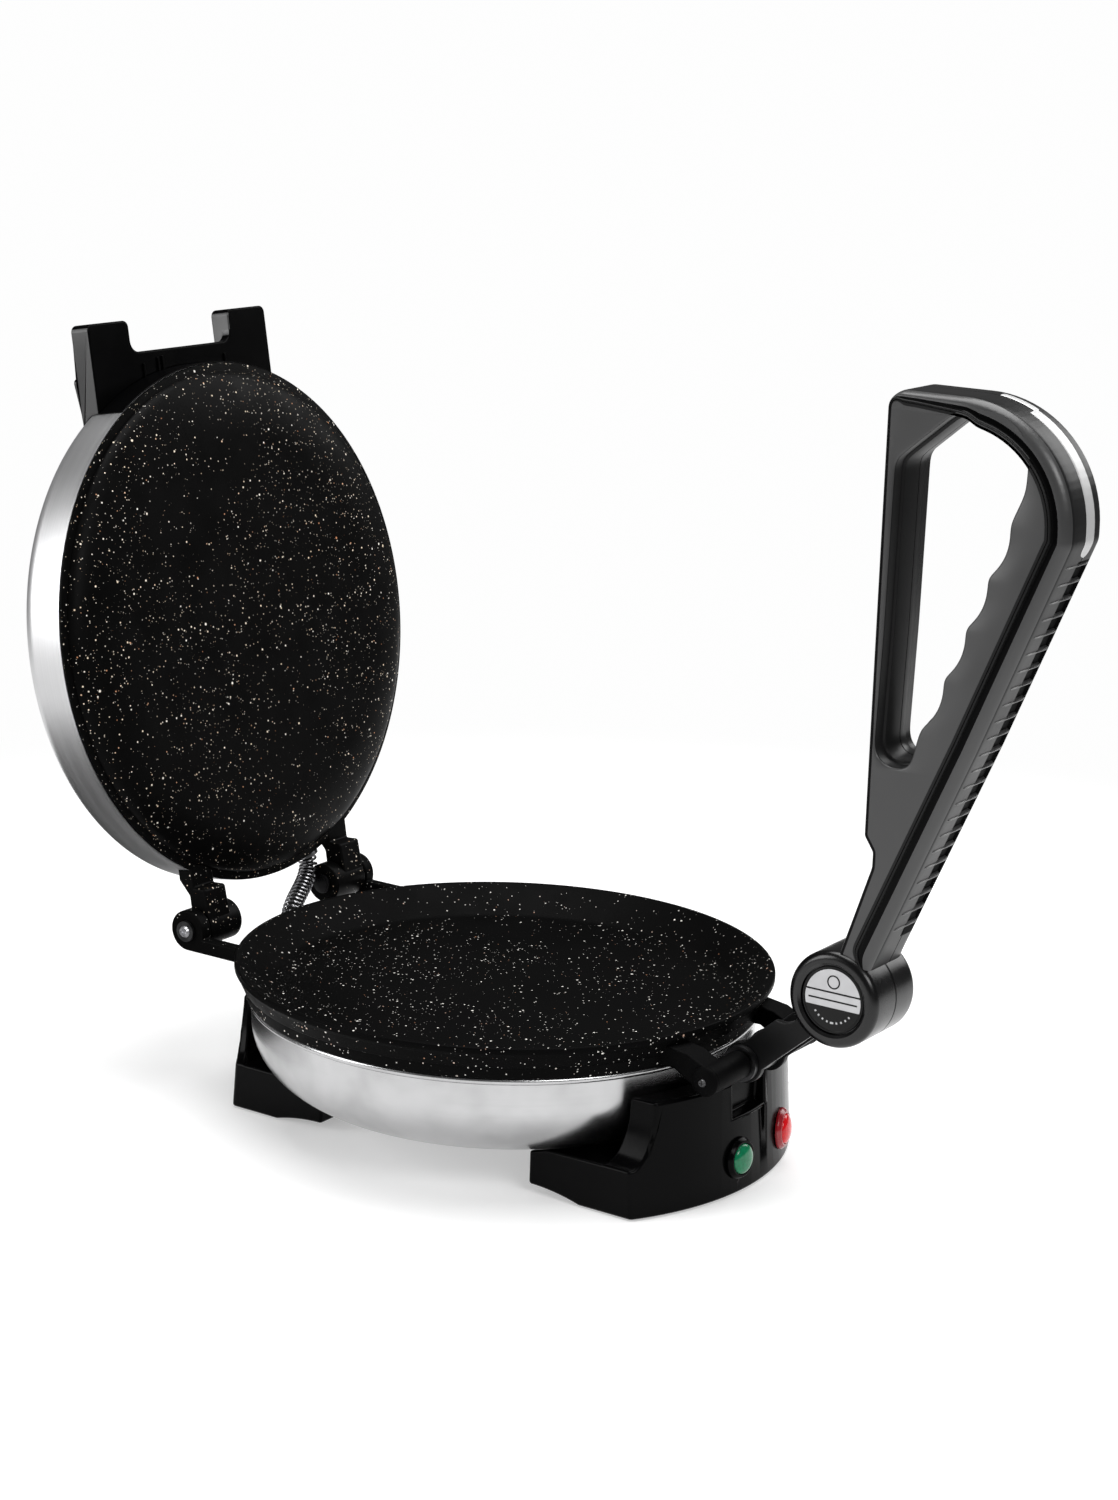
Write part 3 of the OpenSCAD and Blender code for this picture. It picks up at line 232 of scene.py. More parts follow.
def plainMetal(name, shade, roughness, scratch=0.15):
    f = Finish(name, Metallic=1.0)
    place = f.coordinates()
    wear = f.noise(place, 260, 4, 0.6)
    f.set(Base_Color=f.mixed(wear, tuple(c * 0.82 for c in shade), shade),
          Roughness=f.between(wear, 0.3, 0.7, roughness * 0.75, roughness * 1.3))
    f.bump(f.noise(place, 1500, 2), scratch, 0.00004)
    return f.material


def lampGlass(name, shade, deep, glow):
    f = Finish(name, Roughness=0.16, Specular_IOR_Level=0.3, Coat_Weight=0.25, Coat_Roughness=0.06)
    place = f.coordinates()
    ripple = f.noise(place, 700, 2)
    f.set(Base_Color=f.mixed(ripple, deep, shade), Emission_Color=shade, Emission_Strength=glow)
    f.bump(ripple, 0.15, 0.0002)
    return f.material


cream, white, copper = (0.95, 0.8, 0.6), (0.95, 0.92, 0.86), (0.62, 0.28, 0.14)
lidCoat = coatedPlate("lidCoat", ((4.6, 0.75, 0.105, 1.0), (3.1, 0.8, 0.12, 1.0), (2.0, 0.75, 0.15, 0.9),
                                  (1.2, 0.45, 0.2, 0.6)),
                      (17, 0.3, 0.56, 0.35), ((0.0, copper), (0.16, cream), (0.5, white), (1.0, cream)), 0.4, 0.035)
dishCoat = coatedPlate("dishCoat", ((4.2, 0.42, 0.11, 0.9), (2.4, 0.55, 0.15, 0.8), (1.4, 0.45, 0.2, 0.6)),
                       (22, 0.3, 0.6, 0.3), ((0.0, copper), (0.15, white), (1.0, white)), 0.46, 0.02)
lidSteel = brushedSteel("lidSteel", 0.74, 0.42, 0.004, 0.07, 0.06)
bowlSteel = brushedSteel("bowlSteel", 0.5, 0.24, 0.003, 0.06, 0.22)
footPlastic = plastic("footPlastic", (0.0012, 0.0012, 0.0013), 0.2, 0.12, gloss=0.05)
gripPlastic = plastic("gripPlastic", (0.012, 0.012, 0.0122), 0.32, 0.14, speck=0.1, gloss=0.14)
pocketBlack = plastic("pocketBlack", (0.001, 0.001, 0.0011), 0.6, 0.3, gloss=0.04)
# grey satin plastic: its pale base is partly the satin finish and partly painted sheen, standing in for the softbox's
# reflection on the grip's near face; it also paints the highlights on the opening's lip, the ribs' fins and the fork's
# cheeks
satinPaintedSheenPlastic = plastic("satinPaintedSheenPlastic", (0.042, 0.042, 0.0425), 0.34, 0.2, speck=0.3, gloss=0.55)
hubPlastic = plastic("hubPlastic", (0.002, 0.002, 0.0022), 0.24, 0.12, gloss=0.4)
forkPlastic = plastic("forkPlastic", (0.0008, 0.0008, 0.0009), 0.33, 0.2, speck=0.3, gloss=0.03)
rubberPad = plastic("rubberPad", (0.02, 0.02, 0.02), 0.75, 0.5, speck=1.0)
redPlastic = plastic("redPlastic", (0.28, 0.006, 0.012), 0.22, 0.1, gloss=0.6)
armPaint = plastic("armPaint", (0.004, 0.004, 0.0042), 0.38, 0.3, speck=0.4)
zinc = plainMetal("zinc", (0.55, 0.55, 0.57), 0.32)
darkPin = plainMetal("darkPin", (0.07, 0.07, 0.072), 0.36)
springWire = plainMetal("springWire", (0.27, 0.27, 0.28), 0.24)
trimSilver = Finish("trimSilver", Base_Color=(0.6, 0.6, 0.6), Roughness=0.4, Metallic=0.3).material
badgeSilver = plainMetal("badgeSilver", (0.52, 0.52, 0.53), 0.36, 0.1)
badgeBlack = plastic("badgeBlack", (0.006, 0.006, 0.006), 0.3, 0.1)
ceramic = plastic("ceramic", (0.62, 0.6, 0.54), 0.5, 0.2)
sheath = plastic("sheath", (0.5, 0.48, 0.42), 0.6, 0.3)
greenGlass = lampGlass("greenGlass", (0.004, 0.2, 0.085), (0.0, 0.08, 0.03), 0.08)
redGlass = lampGlass("redGlass", (0.7, 0.006, 0.01), (0.3, 0.0, 0.004), 0.16)
print("finishes made")


# points in millimetres become a piece in its place, with its finish, and with its body if it has one
def finishMesh(name, verts, faces, material, body, place, uvs=None, sharp=32):
    mesh = bpy.data.meshes.new(name)
    mesh.from_pydata([tuple(v) for v in verts], [], faces)
    mesh.transform(Matrix.Scale(mm, 4) @ place)
    if uvs is not None:
        layer = mesh.uv_layers.new(name="UVMap")
        for i, uv in enumerate(uvs):
            layer.data[i].uv = uv
    mesh.materials.append(material)
    mesh.validate()
    mesh.shade_smooth()
    mesh.set_sharp_from_angle(angle=math.radians(sharp))
    piece = bpy.data.objects.new(name, mesh)
    bpy.context.scene.collection.objects.link(piece)
    if body:
        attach(piece, body)
    return piece


# closes the seams and turns the faces outwards
def outwards(piece):
    work = bmesh.new()
    work.from_mesh(piece.data)
    bmesh.ops.remove_doubles(work, verts=work.verts, dist=1e-6)
    bmesh.ops.recalc_face_normals(work, faces=work.faces)
    work.to_mesh(piece.data)
    work.free()
    return piece


# rounds the edges sharper than the angle
def bevelled(piece, width, segments=3, angle=38):
    m = piece.modifiers.new("edges", "BEVEL")
    m.width, m.segments = width * mm, segments
    m.limit_method, m.angle_limit = "ANGLE", math.radians(angle)
    m.harden_normals = True
    m.use_clamp_overlap = True
    return piece


# corner points (x, y, radius) made into a smooth outline
def rounded(corners, step=12, closed=True):
    out = []
    count = len(corners)
    for i, (x, y, r) in enumerate(corners):
        if r < tiny or (not closed and i in (0, count - 1)):
            out.append((x, y))
            continue
        b = Vector((x, y))
        a, c = Vector(corners[i - 1][:2]), Vector(corners[(i + 1) % count][:2])
        d0, d1 = (a - b).normalized(), (c - b).normalized()
        half = math.acos(max(-1, min(1, d0.dot(d1)))) / 2
        if half > math.radians(89):
            out.append((x, y))
            continue
        q0, q1 = b + d0 * r / math.tan(half), b + d1 * r / math.tan(half)
        m = b + (d0 + d1).normalized() * r / math.sin(half)
        a0 = math.atan2(q0.y - m.y, q0.x - m.x)
        turn = (math.atan2(q1.y - m.y, q1.x - m.x) - a0 + math.pi) % (2 * math.pi) - math.pi
        n = max(2, int(abs(math.degrees(turn)) / step))
        angles = [a0 + turn * k / n for k in range(n + 1)]
        out += [(m.x + r * math.cos(angle), m.y + r * math.sin(angle)) for angle in angles]
    return out


# a profile (r, z) turned round Z, with UVs in millimetres round and along it
def turned(name, profile, material, body, place, around, closed=False):
    verts, rows, uvs, faces = [], [], [], []
    angles = [2 * math.pi * k / around for k in range(around)]
    lengths = [0.0]
    ends = profile + profile[:1] if closed else profile
    for p, q in zip(ends, ends[1:]):
        lengths.append(lengths[-1] + math.dist(p, q))
    for r, z in profile:
        if r < tiny:
            rows.append([len(verts)] * around)
            verts.append((0, 0, z))
        else:
            rows.append(list(range(len(verts), len(verts) + around)))
            verts += [(r * math.cos(angle), r * math.sin(angle), z) for angle in angles]
    if closed:
        rows.append(rows[0])
    reach = max(r for r, z in profile)
    for i in range(len(rows) - 1):
        low, high = rows[i], rows[i + 1]
        for k in range(around):
            n = (k + 1) % around
            face, spots = [], []
            for row, col, level in ((low, k, i), (low, n, i), (high, n, i + 1), (high, k, i + 1)):
                if row[col] not in face:
                    face.append(row[col])
                    turn = k + 1 if col == n else k
                    spots.append((2 * math.pi * turn / around * reach, lengths[level]))
            if len(face) > 2:
                faces.append(face)
                uvs += spots
    piece = finishMesh(name, verts, faces, material, body, place, uvs)
    if sum(p[0] * q[1] - q[0] * p[1] for p, q in zip(ends, ends[1:])) < 0:
        piece.data.flip_normals()
    return piece


# an outline (y, z) drawn out along X, from low to high
def slab(outline, low, high):
    n = len(outline)
    verts = [(low, a, b) for a, b in outline] + [(high, a, b) for a, b in outline]
    area = sum(p[0] * q[1] - q[0] * p[1] for p, q in zip(outline, outline[1:] + outline[:1]))
    faces = [list(range(n))[::-1], list(range(n, 2 * n))]
    faces += [[i, (i + 1) % n, n + (i + 1) % n, n + i] for i in range(n)]
    if area < 0:
        faces = [f[::-1] for f in faces]
    return verts, faces


def slabPiece(name, outline, x0, x1, material, body, place, bevel):
    verts, faces = slab(outline, *sorted((x0, x1)))
    return bevelled(finishMesh(name, verts, faces, material, body, place), bevel)


# an outline (x, y) raised along Z, from low to high
def raisedPiece(name, outline, low, high, material, body, place, bevel, segments):
    verts, faces = slab(outline, low, high)
    verts = [(y, z, x) for x, y, z in verts]
    return bevelled(finishMesh(name, verts, faces, material, body, place), bevel, segments)


# an arc of n steps round (cx, cy), its angles in degrees
def arcPoints(cx, cy, r, start, stop, n):
    angles = [math.radians(start + (stop - start) * i / n) for i in range(n + 1)]
    return [(cx + r * math.cos(angle), cy + r * math.sin(angle)) for angle in angles]


# the angles of a quarter turn in n steps
def quarter(n):
    return [math.radians(90 * i / n) for i in range(n + 1)]


# a geometry-node recipe: named inputs, run once and kept as a plain mesh
class Recipe(Kit):
    def __init__(self, name, inputs):
        self.tree = bpy.data.node_groups.new(name, "GeometryNodeTree")
        face = self.tree.interface
        face.new_socket("Geometry", in_out="INPUT", socket_type="NodeSocketGeometry")
        for key, value in inputs.items():
            kind = {int: "Int", float: "Float", tuple: "Vector"}.get(type(value), "Object")
            face.new_socket(key, in_out="INPUT", socket_type="NodeSocket" + kind).default_value = value
        face.new_socket("Geometry", in_out="OUTPUT", socket_type="NodeSocketGeometry")
        self.start = self.tree.nodes.new("NodeGroupInput")

    def input(self, name):
        return Wire(self, self.start.outputs[name])

    def output(self, wire, name):
        return Wire(self, wire.socket.node.outputs[name])

    def end(self, geometry, material):
        plain = self.node("GeometryNodeRealizeInstances", None, {0: geometry})
        painted = self.node("GeometryNodeSetMaterial", None, {0: plain})
        painted.socket.node.inputs["Material"].default_value = material
        out = self.tree.nodes.new("NodeGroupOutput")
        self.tree.links.new(painted.socket, out.inputs[0])

    def run(self, name, source, values, body, slotName, sharp=35):
        carrier = bpy.data.objects.new(name + "Source", source)
        bpy.context.scene.collection.objects.link(carrier)
        m = carrier.modifiers.new("recipe", "NODES")
        m.node_group = self.tree
        for item in self.tree.interface.items_tree:
            if item.item_type == "SOCKET" and item.in_out == "INPUT" and item.name in values:
                m[item.identifier] = values[item.name]
        bpy.context.view_layer.update()
        mesh = bpy.data.meshes.new_from_object(carrier.evaluated_get(bpy.context.evaluated_depsgraph_get()))
        carrier.modifiers.remove(m)
        bpy.data.objects.remove(carrier)
        mesh.name = name
        mesh.shade_smooth()
        mesh.set_sharp_from_angle(angle=math.radians(sharp))
        piece = bpy.data.objects.new(name, mesh)
        bpy.context.scene.collection.objects.link(piece)
        if body:
            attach(piece, body)
        return piece


# the camera looks as the photograph's does: degrees, and millimetres
view = {"azimuth": -56.136, "elevation": 14.087, "distance": 1319.805, "roll": 1.755,
        "target": (7.93, -19.105, 166.965), "lens": 75.197, "sensor": 36, "farthest": 50}


def makeCamera():
    a, e, roll = (math.radians(view[k]) for k in ("azimuth", "elevation", "roll"))
    back = Vector((math.sin(a) * math.cos(e), -math.cos(a) * math.cos(e), math.sin(e)))
    right = Vector((math.cos(a), math.sin(a), 0))
    up = back.cross(right)
    right, up = right * math.cos(roll) + up * math.sin(roll), up * math.cos(roll) - right * math.sin(roll)
    eye = Vector(view["target"]) + Vector((0, shiftY, 0)) + back * view["distance"]
    lens = bpy.data.cameras.new("camera")
    lens.sensor_fit, lens.sensor_height, lens.sensor_width = "VERTICAL", view["sensor"], view["sensor"]
    lens.lens, lens.clip_end = view["lens"], view["farthest"]  # the farthest in metres
    camera = bpy.data.objects.new("camera", lens)
    turn = Matrix((right, up, back)).transposed().to_4x4()
    camera.matrix_world = Matrix.Translation(eye * mm) @ turn
    bpy.context.scene.collection.objects.link(camera)
    bpy.context.scene.camera = camera


# a round floor that fades into the backdrop, in metres
studio = {"radius": 1.2, "corners": 64, "floor": 0.72, "lift": 0.37, "fadeFrom": 0.38, "fadeTo": 0.75,
          "seen": 0.988, "lit": 0.1,  # the backdrop as the camera sees it, and as it lights
          "flag": (-0.32, 0.04, 0.2, 0.46), "flagZ": 0.002,  # a black card behind the lid: only the gloss sees it
          "aim": (0, 0, 0.12)}
softboxes = {  # name: place, size, power, all in metres and watts
    "left": ((-1.5, 1.25, 0.75), (0.9, 1.2), 19),
    "front": ((-0.9, -2.0, 1.6), (1.2, 0.8), 26),
    "right": ((1.5, -0.5, 1.2), (0.8, 1.4), 14),
    "top": ((0.1, 0.1, 2.0), (1.6, 1.6), 44),
}


def makeStudio():
    count, radius = studio["corners"], studio["radius"]
    angles = [2 * math.pi * i / count for i in range(count)]
    verts = [(radius * math.cos(angle), radius * math.sin(angle), 0) for angle in angles]
    paint = Finish("floorPaint", Base_Color=(studio["floor"],) * 3, Roughness=0.6, Specular_IOR_Level=0.1,
                   Emission_Color=(1.0, 1.0, 1.0), Emission_Strength=studio["lift"])
    far = paint.vector("LENGTH", paint.coordinates())
    far.socket = far.socket.node.outputs["Value"]
    glow = paint.node("ShaderNodeEmission", None, {"Color": (studio["seen"],) * 3})
    mix = paint.node("ShaderNodeMixShader", None, {0: paint.between(far, studio["fadeFrom"], studio["fadeTo"])})
    paint.tree.links.new(paint.shader.outputs[0], mix.socket.node.inputs[1])
    paint.tree.links.new(glow.socket, mix.socket.node.inputs[2])
    paint.tree.links.new(mix.socket, paint.tree.nodes["Material Output"].inputs[0])
    finishMesh("floor", verts, [list(range(count))], paint.material, None, fromMetres)
    x0, x1, y0, y1 = studio["flag"]
    corners = [(x, y, studio["flagZ"]) for x, y in ((x0, y0), (x1, y0), (x1, y1), (x0, y1))]
    card = finishMesh("flag", corners, [[0, 1, 2, 3]], pocketBlack, None, fromMetres)
    card.visible_camera = card.visible_diffuse = card.visible_shadow = False
    world = bpy.data.worlds.new("studio")
    world.use_nodes = True
    tree = world.node_tree
    tree.nodes.clear()
    path = tree.nodes.new("ShaderNodeLightPath")
    mix, out = tree.nodes.new("ShaderNodeMixShader"), tree.nodes.new("ShaderNodeOutputWorld")
    tree.links.new(path.outputs["Is Camera Ray"], mix.inputs[0])
    for i, key in ((1, "lit"), (2, "seen")):
        shade = tree.nodes.new("ShaderNodeBackground")
        shade.inputs[0].default_value = (studio[key],) * 3 + (1,)
        tree.links.new(shade.outputs[0], mix.inputs[i])
    tree.links.new(mix.outputs[0], out.inputs[0])
    bpy.context.scene.world = world
    bpy.context.scene.view_settings.view_transform = "Standard"
    for name, (place, size, power) in softboxes.items():
        lamp = bpy.data.lights.new(name, "AREA")
        lamp.shape, lamp.size, lamp.size_y, lamp.energy = "RECTANGLE", size[0], size[1], power
        box = bpy.data.objects.new(name, lamp)
        box.location = place
        box.rotation_euler = (Vector(studio["aim"]) - Vector(place)).to_track_quat("-Z", "Y").to_euler()
        bpy.context.scene.collection.objects.link(box)


makeCamera()
makeStudio()
print("camera and studio made")

# the lower plate: the dish, then the arms of its hinge and the ears of the lever
dish = {"rim": 116.0, "rimZ": 73.0, "floor": 98.5, "depth": 11.5, "thick": 5.0, "lip": 2.2,
        "skirt": 111.1, "skirtZ": 58.5, "skirtWall": 3.2}
hingeArm = {"x": 61.0, "thick": 6.0, "knuckle": 9.0, "topY": 98.5, "lowY": 93.5}
ear = {"x": 40.0, "thick": 12.0, "r": 6.0, "inner": 14.2, "bore": 4.05, "rootY": -103, "rootZ": 69}


def makeDish():
    d = dish
    r, top, skirt, foot = d["rim"], d["rimZ"], d["skirt"], d["skirtZ"]
    inner = skirt - d["skirtWall"]
    floorZ = top - d["depth"]
    under = floorZ - d["thick"]
    section = rounded([(0, floorZ, 0), (d["floor"], floorZ, 7), (r - d["lip"], top, 0.9), (r, top, 0.9),
                       (r, top - 2.5, 0.8), (r - 1, top - 4, 0.8), (skirt + 1.6, foot + 5.4, 0.9),
                       (skirt + 0.8, foot + 5, 0.6), (skirt, foot, 0.6), (inner, foot, 0.5), (inner, foot + 4, 0),
                       (r - 7.2, top - 6.5, 0), (d["floor"] - 1, under, 2), (0, under, 0)], closed=False)
    plate = turned("dishPlate", section, dishCoat, "base", basePlace, around=sides["plate"])
    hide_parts("lower_plate")


def makeHingeArms():
    a = hingeArm
    y, z, r = hinge["y"], hinge["z"], a["knuckle"]
    top = dish["rimZ"] - 1
    ring = arcPoints(y, z, r, -90, 180 + math.degrees(math.asin((z - top) / r)), 40)
    outline = [(a["topY"], top), (a["lowY"], z - r)] + ring
    for side, name in ((-1, "hingeArmLeft"), (1, "hingeArmRight")):
        slabPiece(name, outline, side * a["x"], side * (a["x"] - a["thick"]), dishCoat, "base", basePlace, 0.9)


def makeEars():
    e = ear
    y, z, r, foot = lever["pivotY"], lever["pivotZ"], e["r"], dish["skirtZ"] + 1
    web = rounded([(e["rootY"], foot, 0), (e["rootY"], e["rootZ"], 0), (y + 9, z + 9.5, 4), (y, z + 8, 0)],
                  closed=False)
    web = web[:-1] + arcPoints(y, z, r, 80, 315, 30) + [(-dish["skirt"], foot)]
    length = e["x"] - e["inner"] - 0.2
    barrel = rounded([(e["bore"], 0, 0), (r, 0, 0.8), (r, length, 0.8), (e["bore"], length, 0)])
    for side, name in ((-1, "earLeft"), (1, "earRight")):
        slabPiece(name, web, side * e["x"], side * (e["x"] - e["thick"]), pocketBlack, "base", basePlace, 0.9)
        turned(name + "Barrel", barrel, pocketBlack, "base",
               basePlace @ Matrix.Translation((side * e["inner"], y, z)) @ outTo(side),
               closed=True, around=sides["pin"])


makeDish()
makeHingeArms()
makeEars()

# the stainless bowl with its rolled rim
bowl = {"r": 108.5, "floorR": 75.0, "floorZ": 17.5, "rise": 30.0, "top": 58.3, "sheet": 1.0, "bead": 1.6}


# a quarter of an ellipse from the flat floor up to the wall, grown outwards
def bowlLine(grow, n=28):
    b = bowl
    return [(b["floorR"] + (b["r"] - b["floorR"] + grow) * math.sin(angle),
             b["floorZ"] + b["rise"] - (b["rise"] + grow) * math.cos(angle)) for angle in quarter(n)]


def makeBowl():
    b = bowl
    outer = [(0, b["floorZ"])] + bowlLine(0)
    bead = arcPoints(b["r"], b["top"] - b["bead"], b["bead"], -70, 190, 16)
    inner = bowlLine(-b["sheet"])[::-1] + [(0, b["floorZ"] + b["sheet"])]
    shell = turned("bowlShell", outer + bead + inner, bowlSteel, "base", basePlace, around=sides["plate"])
    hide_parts("base_bowl")


makeBowl()
print("dish and bowl made")

# solids whose shape is kept, with rounded edges: new name, body, slot, edge radius, least angle
edged = {
    "front_foot": ("frontFoot", "base", "foot_plastic", 1.3, 32),
    "rear_foot": ("rearFoot", "base", "foot_plastic", 1.3, 32),
    "press_fork": ("pressFork", "lid", "fork_metal", 0.9, 40),
}
joined = {"nearer": 2e-6, "flatter": 1.0}  # points nearer (in metres) and faces flatter (in degrees) become one


def edgedCopy(node, material):
    name, body, slotName, radius, angle = edged[node]
    work = bmesh.new()
    work.from_mesh(nodes[node].data)
    bmesh.ops.remove_doubles(work, verts=work.verts, dist=joined["nearer"])
    bmesh.ops.dissolve_limit(work, angle_limit=math.radians(joined["flatter"]), verts=work.verts, edges=work.edges)
    mesh = bpy.data.meshes.new(name)
    work.to_mesh(mesh)
    work.free()
    mesh.materials.clear()
    mesh.materials.append(material)
    mesh.shade_smooth()
    mesh.set_sharp_from_angle(angle=math.radians(angle))
    piece = bpy.data.objects.new(name, mesh)
    bpy.context.scene.collection.objects.link(piece)
    bevelled(piece, radius, 3, angle).modifiers[0].use_clamp_overlap = False
    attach(piece, body)
    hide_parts(node)
    return piece


edgedCopy("front_foot", footPlastic)
edgedCopy("rear_foot", footPlastic)
print("feet made")

# the two lamps in the front foot's wall, which is curved and leans by a slope of 3 in 48
lamp = {"z": 15.5, "green": -9.5, "red": 31.0, "lens": 6.3, "frame": 8.8, "wallR": 114.5, "reach": 127.0,
        "slope": 3 / 48, "fit": 0.15}


def lampPlace(x):
    wall, z, slope = lamp["wallR"], lamp["z"], lamp["slope"]
    return (basePlace @ Matrix.Translation((0, wall - lamp["reach"], 0)) @ Matrix.Rotation(math.asin(x / wall), 4, "Z")
            @ Matrix.Translation((0, -wall + slope * z, z))
            @ Matrix.Rotation(math.radians(90) - math.atan(slope), 4, "X"))


def makeLamp(name, x, frameMaterial, glass, nodesFor):
    f, l = lamp["frame"], lamp["lens"]
    hole = l + lamp["fit"]
    ring = rounded([(hole, -1, 0), (f - 1.6, 0.1, 0), (f, 0.1, 0), (f, 1.1, 0.7), (f - 0.7, 1.9, 0.6),
                    (l + 1.2, 2.6, 0.6), (hole, 2.5, 0.3)])
    bezel = turned(name + "Frame", ring, frameMaterial, "base", lampPlace(x), closed=True, around=sides["lamp"])
    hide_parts(nodesFor[0])
    dome = [(0, 0), (l, 0), (l, 1.6)]
    dome += [(l * math.cos(angle), 2.2 + 2.4 * math.sin(angle)) for angle in quarter(12)[:-1]] + [(0, 4.6)]
    lens = turned(name + "Lens", dome, glass, "base", lampPlace(x), around=sides["lamp"])
    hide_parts(nodesFor[1])


makeLamp("green", lamp["green"], footPlastic, greenGlass,
         ("green_bezel", "green_lens"))
makeLamp("red", lamp["red"], redPlastic, redGlass, ("red_bezel", "red_lens"))
print("lamps made")

# the lid: its cooking face and its steel shell
lid = {"r": 115.0, "z": 73.3, "h": 24.5, "round": 8.0, "sheet": 1.0, "crown": 82.0, "crownZ": 64.5, "crownEdge": 111.4}


def makeLid():
    d = lid
    r, z, sheet, bend = d["r"], d["z"], d["sheet"], d["round"]
    edge = r - sheet - 0.2
    brim = edge + 0.95  # a flat rim that covers the edge of the shell
    shoulder, drop, back = d["crownEdge"] - d["crown"], z - d["crownZ"], d["crownZ"] + 6
    face = [(0, d["crownZ"])]
    face += [(d["crown"] + shoulder * math.sin(angle), z - drop * math.cos(angle)) for angle in quarter(36)]
    section = face + rounded([(brim, z + 0.4, 0.0), (brim, z + 1.2, 0.3), (edge, z + 1.2, 0), (edge, z + 4, 0),
                              (edge - 5, z + 4, 0), (d["crown"] + 4, back, 0), (0, back, 0)], closed=False)
    plate = turned("lidPlate", section, lidCoat, "lid", lidPlace, around=sides["plate"])
    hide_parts("upper_plate")
    top, low = z + d["h"], z + 1.35
    outer = [(r, low)] + arcPoints(r - bend, top - bend, bend, 0, 90, 14) + [(r - 40, top), (r - 80, top), (0, top)]
    inner = [(0, top - sheet)] + arcPoints(r - bend, top - bend, bend - sheet, 90, 0, 14) + [(r - sheet, low)]
    shell = turned("lidShell", outer + inner, lidSteel, "lid", lidPlace, around=sides["plate"])
    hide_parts("upper_shell")


makeLid()
print("lid made")

# the lid's two hinge arms, each with a barrel on the pin
lidArm = {"x0": -54.5, "wide": 14.0, "barrel": 20.5, "r": 9.0, "bore": 3.55, "knee": 110.0}


def makeLidArms():
    a = lidArm
    y, z, knee, face = hinge["y"], hinge["z"], a["knee"], lid["z"]
    outline = rounded([(y + 1, z - 8.5, 0), (knee, z - 7.5, 1.5), (knee - 0.6, face, 0), (knee - 11, face, 0),
                       (knee - 11, face + 8, 0), (knee - 4, face + 8, 0), (knee + 3, z + 2, 2), (y + 1, z + 2, 0)])
    tube = rounded([(a["bore"], 0, 0), (a["r"], 0, 0.9), (a["r"], a["barrel"], 0.9), (a["bore"], a["barrel"], 0)])
    for side, name in ((1, "lidArmLeft"), (-1, "lidArmRight")):
        slabPiece(name, outline, side * a["x0"], side * (a["x0"] + a["wide"]), lidCoat, "lid", lidPlace, 1.0)
        turned(name + "Barrel", tube, lidCoat, "lid",
               lidPlace @ Matrix.Translation((side * a["x0"], y, z)) @ outTo(side),
               closed=True, around=sides["pin"])


makeLidArms()

# the fork, whose cheeks take the pale satin: partly their satin finish, partly painted light for the lit grey of its
# side walls
fork = edgedCopy("press_fork", forkPlastic)
fork.data.materials.append(satinPaintedSheenPlastic)
for face in fork.data.polygons:
    face.material_index = int(abs(face.normal.x) > 0.9)
forkLow = min((lidPlace.inverted() @ (vertex.co / mm)).z for vertex in fork.data.vertices)
reflectionStripAndRibs = {"half": 58.6, "thick": 0.45, "off": 0.05, "ribX": (-27.0, -17.5, -14.5, 27.0), "ribHalf": 0.6, "ribLong": 6.5}


# a black strip over the shell's edge under the fork, a painted reflection of the fork's dark face in the steel, and
# the short ribs on the fork's bridge
def makeReflectionStripAndRibs():
    a, gap, w = reflectionStripAndRibs, lid["r"] + reflectionStripAndRibs["off"], reflectionStripAndRibs["ribHalf"]
    turn = math.degrees(math.asin(a["half"] / lid["r"]))
    band = arcPoints(0, 0, gap + a["thick"], -90 - turn, -90 + turn, 60)
    band += arcPoints(0, 0, gap, -90 + turn, -90 - turn, 60)
    # the strip paints the fork's dark reflection onto the steel
    raisedPiece("forkApron", band, lid["z"] + 1.5, forkLow + 1.5, forkPlastic, "lid", lidPlace, 0.15, 2)
    for i, x in enumerate(a["ribX"]):
        y = -math.sqrt(gap ** 2 - x ** 2)
        rib = [(x - w, y - a["ribLong"]), (x + w, y - a["ribLong"]), (x + w, y), (x - w, y)]
        raisedPiece(f"forkRib{i}", rib, forkLow - 0.7, forkLow + 0.8, forkPlastic, "lid", lidPlace, 0.25,
                    2)


makeReflectionStripAndRibs()
print("fork made")

# the lever's two flat arms with their round ends, and the tie between them
yoke = {"wide": 22.0, "thick": 3.0, "bar": 13.5, "waist": (12.0, 32.85, 10.0), "tieHalf": 8.5, "tieLong": 26}


def makeYoke():
    d = yoke
    half, r, arm = d["bar"] / 2, d["bar"] / 2 + 2, lever["arm"]
    dip = math.degrees(math.asin(half / r))
    outline = arcPoints(0, 0, r, 90 + dip, 450 - dip, 40) + arcPoints(*d["waist"], 238, 122, 16)
    outline += arcPoints(0, arm, r, -90 + dip, 270 - dip, 40)
    outer = d["wide"] / 2
    for side, name in ((-1, "yokeLeft"), (1, "yokeRight")):
        piece = slabPiece(name, outline, side * outer, side * (outer - d["thick"]), armPaint, "lever", armPlace, 0.5)
        if side < 0:
            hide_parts("yoke")
    low, w = arm - d["tieLong"], d["thick"] / 2
    tie = rounded([(-w, low, 0.5), (w, low, 0.5), (w, arm, 0), (-w, arm, 0)])
    slabPiece("yokeTie", tie, -d["tieHalf"], d["tieHalf"], armPaint, "lever", armPlace, 0.3)


makeYoke()

